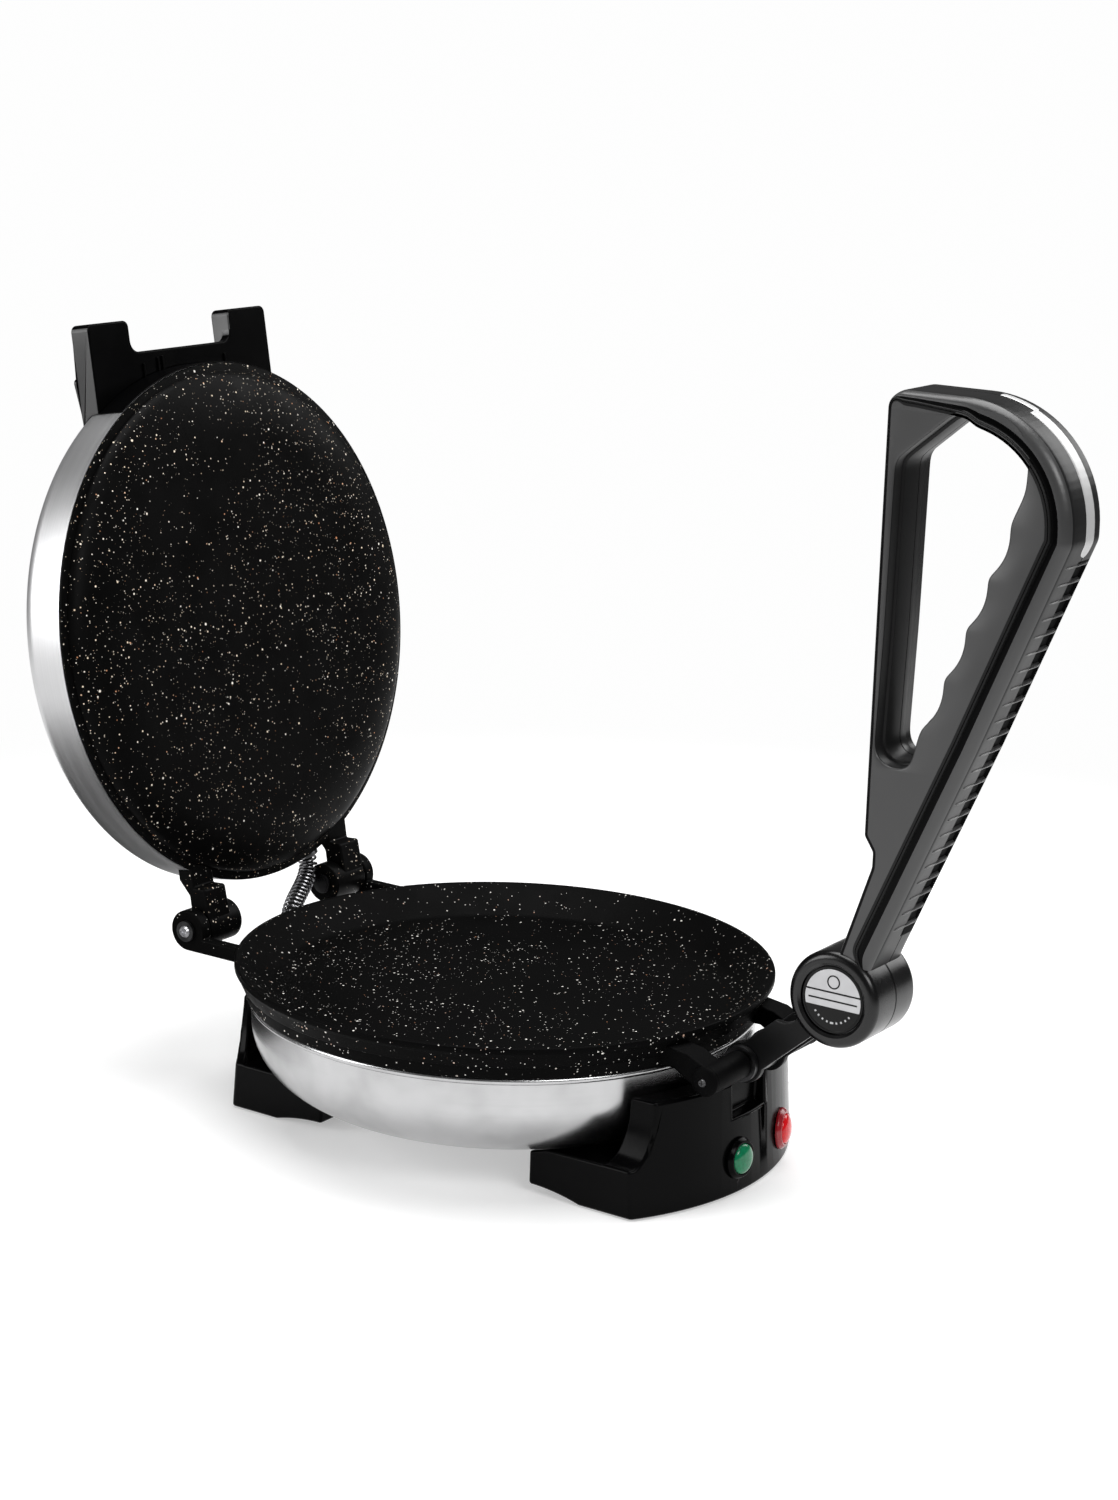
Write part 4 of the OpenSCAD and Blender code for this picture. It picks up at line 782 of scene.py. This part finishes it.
# the handle, drawn on (u, v) round the hub's axis: u away from the dish, v up. Thick and flat are half widths,
# fingers to sag are the hollows in the opening, and slant and start give the line they stand on.
grip = {"thick": 15.5, "flat": 10.0, "seam": 3.0, "side": 9.2, "reach": 78.0, "high": 243.0, "curve": 47.0,
        "wall": 3.8, "fingers": 4, "pitch": 21.9, "sag": 3.2, "slant": 21, "start": (31.3, 115.6),
        "step": 62.0, "neck": 13.2,
        "spacing": 0.55, "holeSpacing": 0.8, "insetRounds": 40, "holeRounds": 16, "crease": 40}


# a closed line of points made even
def resampled(points, spacing):
    count = len(points)
    spans = [math.dist(points[i], points[(i + 1) % count]) for i in range(count)]
    total = sum(spans)
    n = int(total / spacing)
    out, i, done = [], 0, 0.0
    for k in range(n):
        want = total * k / n
        while done + spans[i] < want:
            done += spans[i]
            i += 1
        t = (want - done) / spans[i]
        p, q = points[i], points[(i + 1) % count]
        out.append((p[0] + (q[0] - p[0]) * t, p[1] + (q[1] - p[1]) * t))
    return out


# the ways outwards from a closed line
def normals(points, reach):
    count = len(points)
    area = sum(p[0] * q[1] - q[0] * p[1] for p, q in zip(points, points[1:] + points[:1]))
    sign = 1 if area > 0 else -1
    out = []
    for i in range(count):
        a, b = Vector(points[(i - reach) % count]), Vector(points[(i + reach) % count])
        d = (b - a).normalized()
        out.append((d.y * sign, -d.x * sign))
    return out


def smoothed(values, rounds):
    for _ in range(rounds):
        values = [(values[i - 1] + 2 * values[i] + values[(i + 1) % len(values)]) / 4 for i in range(len(values))]
    return values


def smoothedWays(ways):
    xs, ys = smoothed([w[0] for w in ways], 3), smoothed([w[1] for w in ways], 3)
    return [(x / math.hypot(x, y), y / math.hypot(x, y)) for x, y in zip(xs, ys)]


def gripOutline():
    g = grip
    far, top, inner, neck, step = g["side"] + g["reach"], g["high"], g["side"], g["neck"], g["step"]
    return rounded([(-3.5, 5, 0), (10.5, 5, 0), (53.8, 108, 150), (far, top - g["curve"] - 4, 9),
                    (far, top, g["curve"]), (inner, top, 7), (inner, step + 7, 3.5), (neck, step + 1, 2.5),
                    (neck, step - 5, 6)], step=4)


# the opening: straight on the inner side, with a hollow for each finger on the other
def loopOutline():
    g = grip
    x, top = g["side"] + g["wall"], g["high"] - 5.5
    way = (math.sin(math.radians(g["slant"])), math.cos(math.radians(g["slant"])))
    start, pitch, between = g["start"], g["pitch"], 12
    points = rounded([(x, 150, 0), (x - 1.5, 98, 8), (27, 98, 5), (start[0] - 1, start[1] - 3, 0)], 6, closed=False)
    for i in range(g["fingers"]):
        a = (start[0] + i * pitch * way[0], start[1] + i * pitch * way[1])
        for k in range(between):
            t = k / between
            sag = g["sag"] * math.sin(math.pi * t) ** 0.8
            points.append((a[0] + way[0] * pitch * t + way[1] * sag, a[1] + way[1] * pitch * t - way[0] * sag))
    end = (start[0] + g["fingers"] * pitch * way[0], start[1] + g["fingers"] * pitch * way[1])
    points += rounded([(*end, 0), (end[0] + 5.5, end[1] + 13, 12), (end[0] + 6.2, top - 2, 17), (46, top + 1.2, 12),
                       (36, top - 2, 8), (x + 0.8, top - 21, 3), (x, 150, 0)], 6, closed=False)[:-1]
    return points


# how far in from the outline the near face's bead runs
def insetAt(u, v):
    g = grip
    if u < g["side"] + 3 and v > g["step"] - 4 or u < g["neck"] + 1.5 and v < g["step"] + 6:
        return 1.4
    if v > g["high"] - 3 and u < 46:
        return 4.2 + 2.4 * max(0, (u - 20) / 26)
    return 8.6


# a line of points moved inwards
def shifted(points, ways, distances):
    return [(p[0] - w[0] * d, p[1] - w[1] * d) for p, w, d in zip(points, ways, distances)]


# the fine ribs up the grip's back: from and to are heights, near to far is across the grip
ribs = {"pitch": 7.15, "from": 26.0, "to": 184.0, "near": -8.6, "far": 11.4, "pocket": 1.0, "depth": 1.4, "fin": 0.45,
        "under": 0.3}


# the recess beyond the seam that the ribs stand in
def ribDepth(x, v):
    d = ribs
    inside = d["from"] < v < d["to"] and d["pocket"] < x < d["far"] + 0.2
    return d["depth"] * min(1, (v - d["from"]) / 8, (d["to"] - v) / 2) if inside else 0.0


# one rib: a fine fin that stands on the surface before the seam and in the recess beyond it, with Z up the grip
# and Y into it
def ribPattern():
    d = ribs
    low, deep, fine = d["under"], d["depth"] + 0.2, -d["fin"]
    start = [(low, -0.45), (0.0, -0.1), (0.0, 0.1), (low, 0.45)]
    fin = [(low, -0.5), (fine, -0.2), (fine, 0.2), (low, 0.5)]
    tall = [(deep, -0.5), (fine, -0.2), (fine, 0.2), (deep, 0.5)]
    ends = [(deep, -0.5), (low, -0.2), (low, 0.2), (deep, 0.5)]
    stations = ((d["near"], start), (d["near"] + 1.8, fin), (d["pocket"] - 0.4, fin), (d["pocket"] + 0.1, tall),
                (d["far"] - 3, tall), (d["far"], ends))
    verts, faces, n = [], [], len(start)
    for x, section in stations:
        verts += [(x * mm, y * mm, z * mm) for y, z in section]
    for a in range(0, (len(stations) - 1) * n, n):
        faces += [[a + i, a + (i + 1) % n, a + n + (i + 1) % n, a + n + i] for i in range(n)]
    faces += [list(range(n))[::-1], [(len(stations) - 1) * n + i for i in range(n)]]
    mesh = bpy.data.meshes.new("ribPattern")
    mesh.from_pydata(verts, [], faces)
    pattern = bpy.data.objects.new("ribPattern", mesh)
    bpy.context.scene.collection.objects.link(pattern)
    return outwards(pattern)


def makeRibs(edge, onBack):
    d = ribs
    low, high = d["from"] + 5, d["to"] - 1
    line = [(0, -u, v) for (u, v), back in zip(edge, onBack) if back and low < v < high]
    curve = bpy.data.curves.new("ribPath", "CURVE")
    curve.dimensions = "3D"
    spline = curve.splines.new("POLY")
    spline.points.add(len(line) - 1)
    for point, spot in zip(spline.points, line):
        point.co = (*((hubPlace @ Vector(spot)) * mm), 1)
    pattern = ribPattern()
    r = Recipe("gripRibs", {"Pitch": 0.007, "Rib": pattern})
    dots = r.node("GeometryNodeCurveToPoints", {"mode": "LENGTH"},
                  {"Curve": r.input("Geometry"), "Length": r.input("Pitch")})
    ahead = r.output(dots, "Tangent")
    upright = r.node("FunctionNodeAlignRotationToVector", {"axis": "Z"}, {"Vector": ahead})
    level = r.node("FunctionNodeAlignRotationToVector", {"axis": "X", "pivot_axis": "Z"},
                   {"Rotation": upright, "Vector": (1, 0, 0)})
    rib = r.output(r.node("GeometryNodeObjectInfo", None, {"Object": r.input("Rib")}), "Geometry")
    # the fins take the pale satin so they show as light lines: painted highlights on the ribs
    r.end(r.node("GeometryNodeInstanceOnPoints", None, {"Points": dots, "Instance": rib, "Rotation": level}),
          satinPaintedSheenPlastic)
    r.run("gripRibs", curve, {"Pitch": d["pitch"] * mm, "Rib": pattern}, "lever", "handle_plastic", sharp=20)
    bpy.data.objects.remove(pattern)


# which finish a strip of the grip gets: 0 its own, 1 satin with a pale base that is partly painted sheen, 2 a deeper,
# duller black in the rib recess as painted shade, 3 a deeper black on the rounded band as a painted dark reflection
def finishOf(share, inRecess):
    if inRecess:
        return 2
    return 3 if 0.56 < share < 0.99 else 1 if 0.03 < share < 0.9 else 0


def makeGrip():
    g = grip
    edge = resampled(gripOutline(), g["spacing"])
    ways = smoothedWays(normals(edge, 3))
    base = smoothed([insetAt(*p) for p in edge], g["insetRounds"])
    bead = [max(0.35, min(1, (b - 1) / 2)) for b in base]
    travel, total = [], 0.0
    for i, p in enumerate(edge):
        travel.append(total)
        total += math.dist(p, edge[(i + 1) % len(edge)])
    onBack = [w[0] > 0.6 for w in ways]
    # levels across the grip: x, share of the full inset, extra inset, share of the bead
    t, f, m = g["thick"], g["flat"], g["seam"]
    side = [(f + (t - 0.5 - f) * math.sin(angle), 0.55 * (1 - math.cos(angle)), 0, 0) for angle in quarter(9)[1:]]
    side += [(t - 0.38, 0.66, 0, 0), (t - 0.3, 0.76, 0, 0), (t - 0.4, 1, -1.5, 1), (t - 1.0, 1, -1.3, 1),
             (t - 1.0, 1, -1.1, 1), (t - 0.25, 1, -0.9, 1), (t, 1, -0.7, 1), (t, 1, -0.35, 1), (t - 0.25, 1, -0.12, 1),
             (t - 0.9, 1, 0.0, 1), (t - 0.9, 1, 0.2, 1), (t - 0.55, 1, 0.4, 1), (t - 0.55, 1, 1.5, 1)]
    flat = [-f, -6, -3, 0, ribs["pocket"] - 0.1, ribs["pocket"] + 0.1, m - 0.3, m - 0.18, m + 0.18, m + 0.3, 6, 8, f]
    levels = [(-x, s, e, b) for x, s, e, b in side[::-1]]
    levels += [(x, 0, 0.35 if abs(x - m) < 0.2 else 0, 0) for x in flat] + side
    n = len(edge)
    verts, faces = [], []
    for x, share, extra, beadShare in levels:
        distances = []
        for i in range(n):
            d = base[i] * share + extra * (beadShare * bead[i] + 1 - beadShare)
            if onBack[i]:
                d += ribDepth(x, edge[i][1])
            distances.append(d)
        verts += [(x, -u, v) for u, v in shifted(edge, ways, distances)]
    rows = len(levels)
    kinds = []
    for k in range(rows - 1):
        x, share = (levels[k][0] + levels[k + 1][0]) / 2, (levels[k][1] + levels[k + 1][1]) / 2
        for i in range(n):
            j = (i + 1) % n
            faces.append([k * n + i, k * n + j, (k + 1) * n + j, (k + 1) * n + i])
            kinds.append(finishOf(share, onBack[i] and ribDepth(x, edge[i][1]) > 0))
    # the opening's wall: a lip, then a raised land round the seam
    hole = resampled(loopOutline(), g["holeSpacing"])
    hole = list(zip(*(smoothed([p[axis] for p in hole], g["holeRounds"]) for axis in (0, 1))))
    holeWays = smoothedWays(normals(hole, 2))
    lip = [(t - 0.55, -0.9), (t - 0.7, -0.45), (t - 1.1, -0.12), (t - 1.7, 0.0), (9.2, 0.1), (8.8, 0.25), (8.5, 1.1),
           (8.1, 1.35)]
    split = [(m - 0.3, 1.45), (m - 0.15, 1.1), (m + 0.15, 1.1), (m + 0.3, 1.45)]
    holeLevels = [(-x, d) for x, d in lip] + split + lip[::-1]
    start, c = len(verts), len(hole)
    for x, d in holeLevels:
        verts += [(x, -u, v) for u, v in shifted(hole, holeWays, [d] * c)]
    for k in range(len(holeLevels) - 1):
        for i in range(c):
            j = (i + 1) % c
            faces.append([start + k * c + j, start + k * c + i, start + (k + 1) * c + i, start + (k + 1) * c + j])
            # the lip's two outer strips on each side take the pale satin, as painted highlights along the opening's
            # rounded edges
            kinds.append(1 if min(k, len(holeLevels) - 2 - k) < 2 else 0)
    # the two flat faces between outline and opening
    for outer, inner in ((0, start), ((rows - 1) * n, start + (len(holeLevels) - 1) * c)):
        a = [Vector((verts[outer + i][1], verts[outer + i][2], 0)) for i in range(n)]
        b = [Vector((verts[inner + i][1], verts[inner + i][2], 0)) for i in range(c)]
        index = [outer + i for i in range(n)] + [inner + i for i in range(c)]
        faces += [[index[corner] for corner in triangle] for triangle in tessellate_polygon([a, b])]
    piece = finishMesh("grip", verts, faces, gripPlastic, "lever", hubPlace, sharp=g["crease"])
    for material in (satinPaintedSheenPlastic, pocketBlack, footPlastic):
        piece.data.materials.append(material)
    kinds += [1] * (len(piece.data.polygons) - len(kinds))
    piece.data.polygons.foreach_set("material_index", kinds)
    outwards(piece)
    piece.data.shade_smooth()
    piece.data.set_sharp_from_angle(angle=math.radians(g["crease"]))
    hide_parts("handle_left", "handle_right")
    makeRibs(edge, onBack)
    makeTrim(edge, ways, travel)


# the bright strip: it narrows where it turns the top, between stepU and topU
trim = {"wide": 7.4, "low": 186.0, "topU": 46.5, "stepU": 61.0, "stepV": 230, "narrow": (4.8, -0.8), "proud": 0.27,
        "sunk": 0.8, "across": 10}


def makeTrim(edge, ways, travel):
    d = trim
    seam, across, sunk = grip["seam"], d["across"], d["sunk"]
    run = [i for i, p in enumerate(edge) if ways[i][0] > -0.2 and p[1] > d["low"] and p[0] > d["topU"]]
    verts, faces = [], []
    count = len(run)
    for i in run:
        u, v = edge[i]
        fromLow = (travel[i] - travel[run[0]]) % (travel[-1] + 1)
        w = d["wide"] / 2  # its lower end is round
        if fromLow < w:
            w = math.sqrt(max(0.05, w * w - (w - fromLow) ** 2))
        far, near = d["narrow"] if u < d["stepU"] and v > d["stepV"] else (w, w)
        for j in range(across + 1):
            t = j / across
            x = seam - near + (near + far) * t
            lift = d["proud"] * (1 - (2 * t - 1) ** 8) - 0.03
            verts.append((x, -(u + ways[i][0] * lift), v + ways[i][1] * lift))
        verts += [(seam + side, -(u - ways[i][0] * sunk), v - ways[i][1] * sunk) for side in (far, -near)]
    row = across + 3
    for k in range(count - 1):
        for j in range(row):
            a, b = k * row + j, k * row + (j + 1) % row
            faces.append([a, b, b + row, a + row])
    faces += [list(range(row))[::-1], [(count - 1) * row + j for j in range(row)]]
    piece = outwards(finishMesh("gripTrim", verts, faces, trimSilver, "lever", hubPlace, sharp=12))
    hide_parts("handle_trim")


makeGrip()
print("grip made")

# the handle's hub: two turned halves on a core
hub = {"r": 20.0, "half": 17.0, "cap": 14.0, "edge": 3.4}


def makeHub():
    d = hub
    r, h, cap, edge = d["r"], d["half"], d["cap"], d["edge"]
    section = [(6, 0.3), (r - 0.3, 0.3), (r, 0.5), (r, 8)] + arcPoints(r - edge, h - edge, edge, 0, 90, 10)
    section += [(cap + 1.4, h), (cap + 0.3, h - 0.9), (cap + 0.2, h - 2.4), (6, h - 2.4)]
    for side, name in ((-1, "hubLeft"), (1, "hubRight")):
        turned(name, section, hubPlastic, "lever", hubPlace @ outTo(side), closed=True, around=sides["hub"])
    core = [(0, -h + 3), (r - 1.0, -h + 3), (r - 1.0, h - 3), (0, h - 3)]
    turned("hubCore", core, hubPlastic, "lever", hubPlace @ outTo(1), around=sides["pin"])


makeHub()


# the cap: plain silver above a black lower part with a ring of small marks
badge = {"r": 13.6, "in": 2.3, "floor": 0.6, "bar": (-3.4, 2.6), "line": 0.7, "marks": 9, "markR": 9.6, "markStep": 13}


# the part of a disc between two heights
def sector(r, low, high, n=48):
    a0, a1 = math.asin(max(-1, low / r)), math.asin(min(1, high / r))
    right = [(r * math.cos(a0 + (a1 - a0) * i / n), r * math.sin(a0 + (a1 - a0) * i / n)) for i in range(n + 1)]
    return right + [(-x, y) for x, y in (right[-2::-1] if high >= r else right[::-1])]


def makeBadge():
    b = badge
    r, floor, (low, high) = b["r"], b["floor"], b["bar"]
    disc = [(0, 0), (r + 0.3, 0), (r + 0.3, 0.6), (r, 0.9), (r - 0.5, 0.9), (r - 0.8, 0.7), (0, 0.7)]
    ring = [(2.3, floor), (2.9, floor), (2.9, 0.88), (2.3, 0.88)]
    raised = (("Upper", sector(r - 1.1, high + b["line"], r - 1.1), 0.82, badgeSilver, 0.06, 2),
              ("Bar", sector(r - 1.1, low, high), 0.82, badgeSilver, 0.06, 2),
              ("Stripe", sector(r - 2.6, -0.75, -0.05), 0.87, badgeBlack, 0.04, 1))
    for side, name in ((-1, "badgeLeft"), (1, "badgeRight")):
        place = (hubPlace @ Matrix.Translation((side * (hub["half"] - b["in"]), 0, 0)) @ outTo(side)
                 @ Matrix.Rotation(math.radians(90 * side), 4, "Z"))
        base = turned(name, disc, badgeBlack, "lever", place, around=sides["lamp"])
        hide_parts("hub_cap_left" if side < 0 else "hub_cap_right")
        for part, outline, top, finish, edge, segments in raised:
            raisedPiece(name + part, outline, floor, top, finish, "lever", place, edge, segments)
        turned(name + "Ring", ring, badgeBlack, "lever", place @ Matrix.Translation((0, 7.3, 0)), closed=True,
               around=sides["pin"])
        for i in range(b["marks"]):
            a = math.radians(-90 + (i - (b["marks"] - 1) / 2) * b["markStep"])
            wide = 1.5 if i == b["marks"] // 2 else 0.75
            mark = [(x * wide, y * 0.85) for x, y in ((-0.5, -0.5), (0.5, -0.5), (0.5, 0.5), (-0.5, 0.5))]
            spot = Matrix.Translation((b["markR"] * math.cos(a), b["markR"] * math.sin(a), 0))
            raisedPiece(f"{name}Mark{i}", mark, floor, 0.8, badgeSilver, "lever",
                        place @ spot @ Matrix.Rotation(a + math.pi / 2, 4, "Z"), 0.05, 1)


makeBadge()
print("hub made")

# the lid's supply cable in its sprung sleeve, from the rear foot up to the lid's rim
sleeve = {"x": 5.0, "topX": 31.0, "r": 4.4, "wire": 0.6, "curls": 18, "pull": 15.0, "socketZ": 80.3, "out": 2.6,
          "back": 4.5, "up": 3, "cable": 2.4, "steps": 20, "way": (0.12, 0.32, 0.94), "run": (0.01, 0.99)}
coilWide = sleeve["r"] - sleeve["wire"]


# where a point of the closed lid stands when the lid is open
def openPoint(x, y, z):
    a = math.radians(hinge["open"])
    y, z = y - hinge["y"], z - hinge["z"]
    return Vector((x, hinge["y"] + y * math.cos(a) + z * math.sin(a), hinge["z"] - y * math.sin(a) + z * math.cos(a)))


footWay = Vector(sleeve["way"]).normalized()
sleeveLow = Vector((sleeve["x"], hinge["y"] - sleeve["back"],
                    dish["rimZ"] - dish["depth"] - dish["thick"] + sleeve["up"]))
socketR = math.sqrt(lid["r"] ** 2 - sleeve["topX"] ** 2)
socketOut = (openPoint(sleeve["topX"] / lid["r"], hinge["y"] + socketR / lid["r"], hinge["z"])
             - openPoint(0, hinge["y"], hinge["z"]))
sleeveHigh = openPoint(sleeve["topX"], socketR, sleeve["socketZ"]) + sleeve["out"] * socketOut


def sleevePath(lowT, highT, n=80):
    p0, p3 = sleeveLow, sleeveHigh
    p1, p2 = p0 + sleeve["pull"] * footWay, p3 + sleeve["pull"] * socketOut
    curve = bpy.data.curves.new("sleevePath", "CURVE")
    curve.dimensions = "3D"
    line = curve.splines.new("POLY")
    line.points.add(n)
    for i in range(n + 1):
        t = lowT + (highT - lowT) * i / n
        p = p0 * (1 - t) ** 3 + p1 * 3 * t * (1 - t) ** 2 + p2 * 3 * t * t * (1 - t) + p3 * t ** 3
        line.points[i].co = (*((basePlace @ p) * mm), 1)
    return curve


# a round wire curled round a path, or one that follows it where the curls are none
def coilRecipe(material):
    r = Recipe("wireCoil", {"Curls": 18.0, "Coil Radius": 0.0038, "Wire Radius": 0.0006, "Points": 400,
                            "Side Points": 10})
    fine = r.node("GeometryNodeResampleCurve", None, {"Curve": r.input("Geometry"), "Count": r.input("Points")})
    along = r.node("GeometryNodeSplineParameter")
    ahead = r.node("GeometryNodeInputTangent")
    first = r.vector("NORMALIZE", r.vector("CROSS_PRODUCT", ahead, (0, 1, 0)))
    second = r.vector("CROSS_PRODUCT", ahead, first)
    turn = along * r.input("Curls") * (2 * math.pi)
    offset = r.vector("ADD", r.scaled(first, turn.math("COSINE") * r.input("Coil Radius")),
                      r.scaled(second, turn.math("SINE") * r.input("Coil Radius")))
    keep = r.node("GeometryNodeCaptureAttribute", None, {0: fine})
    keep.socket.node.capture_items.new("VECTOR", "Offset")
    r.put(keep.socket.node.inputs[1], offset)
    moved = r.node("GeometryNodeSetPosition", None, {"Geometry": keep, "Offset": Wire(r, keep.socket.node.outputs[1])})
    ring = r.node("GeometryNodeCurvePrimitiveCircle", None,
                  {"Resolution": r.input("Side Points"), "Radius": r.input("Wire Radius")})
    tube = r.node("GeometryNodeCurveToMesh", None, {"Curve": moved, "Profile Curve": ring, "Fill Caps": True})
    r.end(tube, material)
    return r


def makeSleeve():
    s = sleeve
    coil = coilRecipe(springWire)
    for name, curls, wide, wire, node, material in (
            ("sleeveCoil", s["curls"], coilWide, s["wire"], "sleeve_coil", None),
            ("sleeveCable", 0.0, 0.0, s["cable"], "sleeve_cable", rubberPad)):
        sizes = {"Curls": float(curls), "Coil Radius": wide * mm, "Wire Radius": wire * mm,
                 "Points": int(s["curls"] * s["steps"]) if curls else 60, "Side Points": 10 if curls else 20}
        piece = coil.run(name, sleevePath(*s["run"]), sizes, None, "sleeve" if curls else "rubber")
        if material:
            piece.data.materials.clear()
            piece.data.materials.append(material)
        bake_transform(piece)
        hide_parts(node)


makeSleeve()
print("sleeve made")

# cross-slotted heads on the pins' ends: pinHead and leverHead are radii, the rest are shares of them
screw = {"sides": 48, "top": 0.78, "slotLong": 1.25, "slotWide": 0.26, "height": 0.4, "pinHead": 2.7, "leverHead": 1.7}


def makeScrews(name, spots, way, radius, metal, body):
    s = screw
    mesh = bpy.data.meshes.new(name + "Spots")
    mesh.from_pydata([Vector(p) * mm for p in spots], [], [])
    r = Recipe("crossHeads", {"Way": (0.0, 0.0, 1.0), "Radius": 0.002, "Height": 0.001})
    wide, high = r.input("Radius"), r.input("Height")
    head = r.node("GeometryNodeMeshCone", None,
                  {"Vertices": s["sides"], "Radius Top": wide * s["top"], "Radius Bottom": wide, "Depth": high})
    long, narrow = wide * s["slotLong"], wide * s["slotWide"]
    bar = r.node("ShaderNodeCombineXYZ", None, {0: long, 1: narrow, 2: high})
    other = r.node("ShaderNodeCombineXYZ", None, {0: narrow, 1: long, 2: high})
    lift = r.node("ShaderNodeCombineXYZ", None, {2: high})
    for size in (bar, other):
        cutter = r.node("GeometryNodeMeshCube", None, {"Size": size})
        moved = r.node("GeometryNodeTransform", None, {"Geometry": cutter, "Translation": lift})
        head = r.node("GeometryNodeMeshBoolean", {"operation": "DIFFERENCE"}, {0: head, 1: moved})
    turn = r.node("FunctionNodeAlignRotationToVector", {"axis": "Z"}, {"Vector": r.input("Way")})
    dots = r.node("GeometryNodeMeshToPoints", None, {"Mesh": r.input("Geometry")})
    r.end(r.node("GeometryNodeInstanceOnPoints", None, {"Points": dots, "Instance": head, "Rotation": turn}), metal)
    r.run(name, mesh, {"Way": way, "Radius": radius * mm, "Height": radius * s["height"] * mm}, body, "fittings",
          sharp=25)


for side, name in ((-1, "Left"), (1, "Right")):
    for node, label, y, z, radius, metal in (
            ("hinge_pins", "hingeHead", hinge["y"], hinge["z"], screw["pinHead"], zinc),
            ("pivot_pin", "pivotHead", lever["pivotY"], lever["pivotZ"], screw["leverHead"], darkPin)):
        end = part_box(node)[1 if side > 0 else 0][0] / mm
        makeScrews(label + name, [(end - side * 0.1, y + shiftY, z)], (float(side), 0.0, 0.0), radius, metal, "base")
print("heads made")

# small pieces that keep their solid and only get a finish
plain = {"lower_heater": zinc, "lower_shield": zinc, "thermostat": ceramic, "bowl_bolt": zinc,
         "terminal_block": ceramic, "base_leads": sheath, "front_pads": rubberPad, "rear_pads": rubberPad,
         "foot_screws": zinc, "lamp_bodies": ceramic, "cord_gland": rubberPad, "hinge_pins": darkPin,
         "pivot_pin": pocketBlack, "pivot_bushes": darkPin, "sleeve_socket": zinc, "upper_heater": zinc,
         "upper_shield": zinc, "shell_bolt": zinc, "lid_socket": zinc, "fork_screws": zinc, "hub_bolt": zinc,
         "handle_screws": zinc}
for node, material in plain.items():
    mesh = nodes[node].data
    for i in range(len(mesh.materials)):
        nodes[node].material_slots[i].material = material
print("small pieces finished")
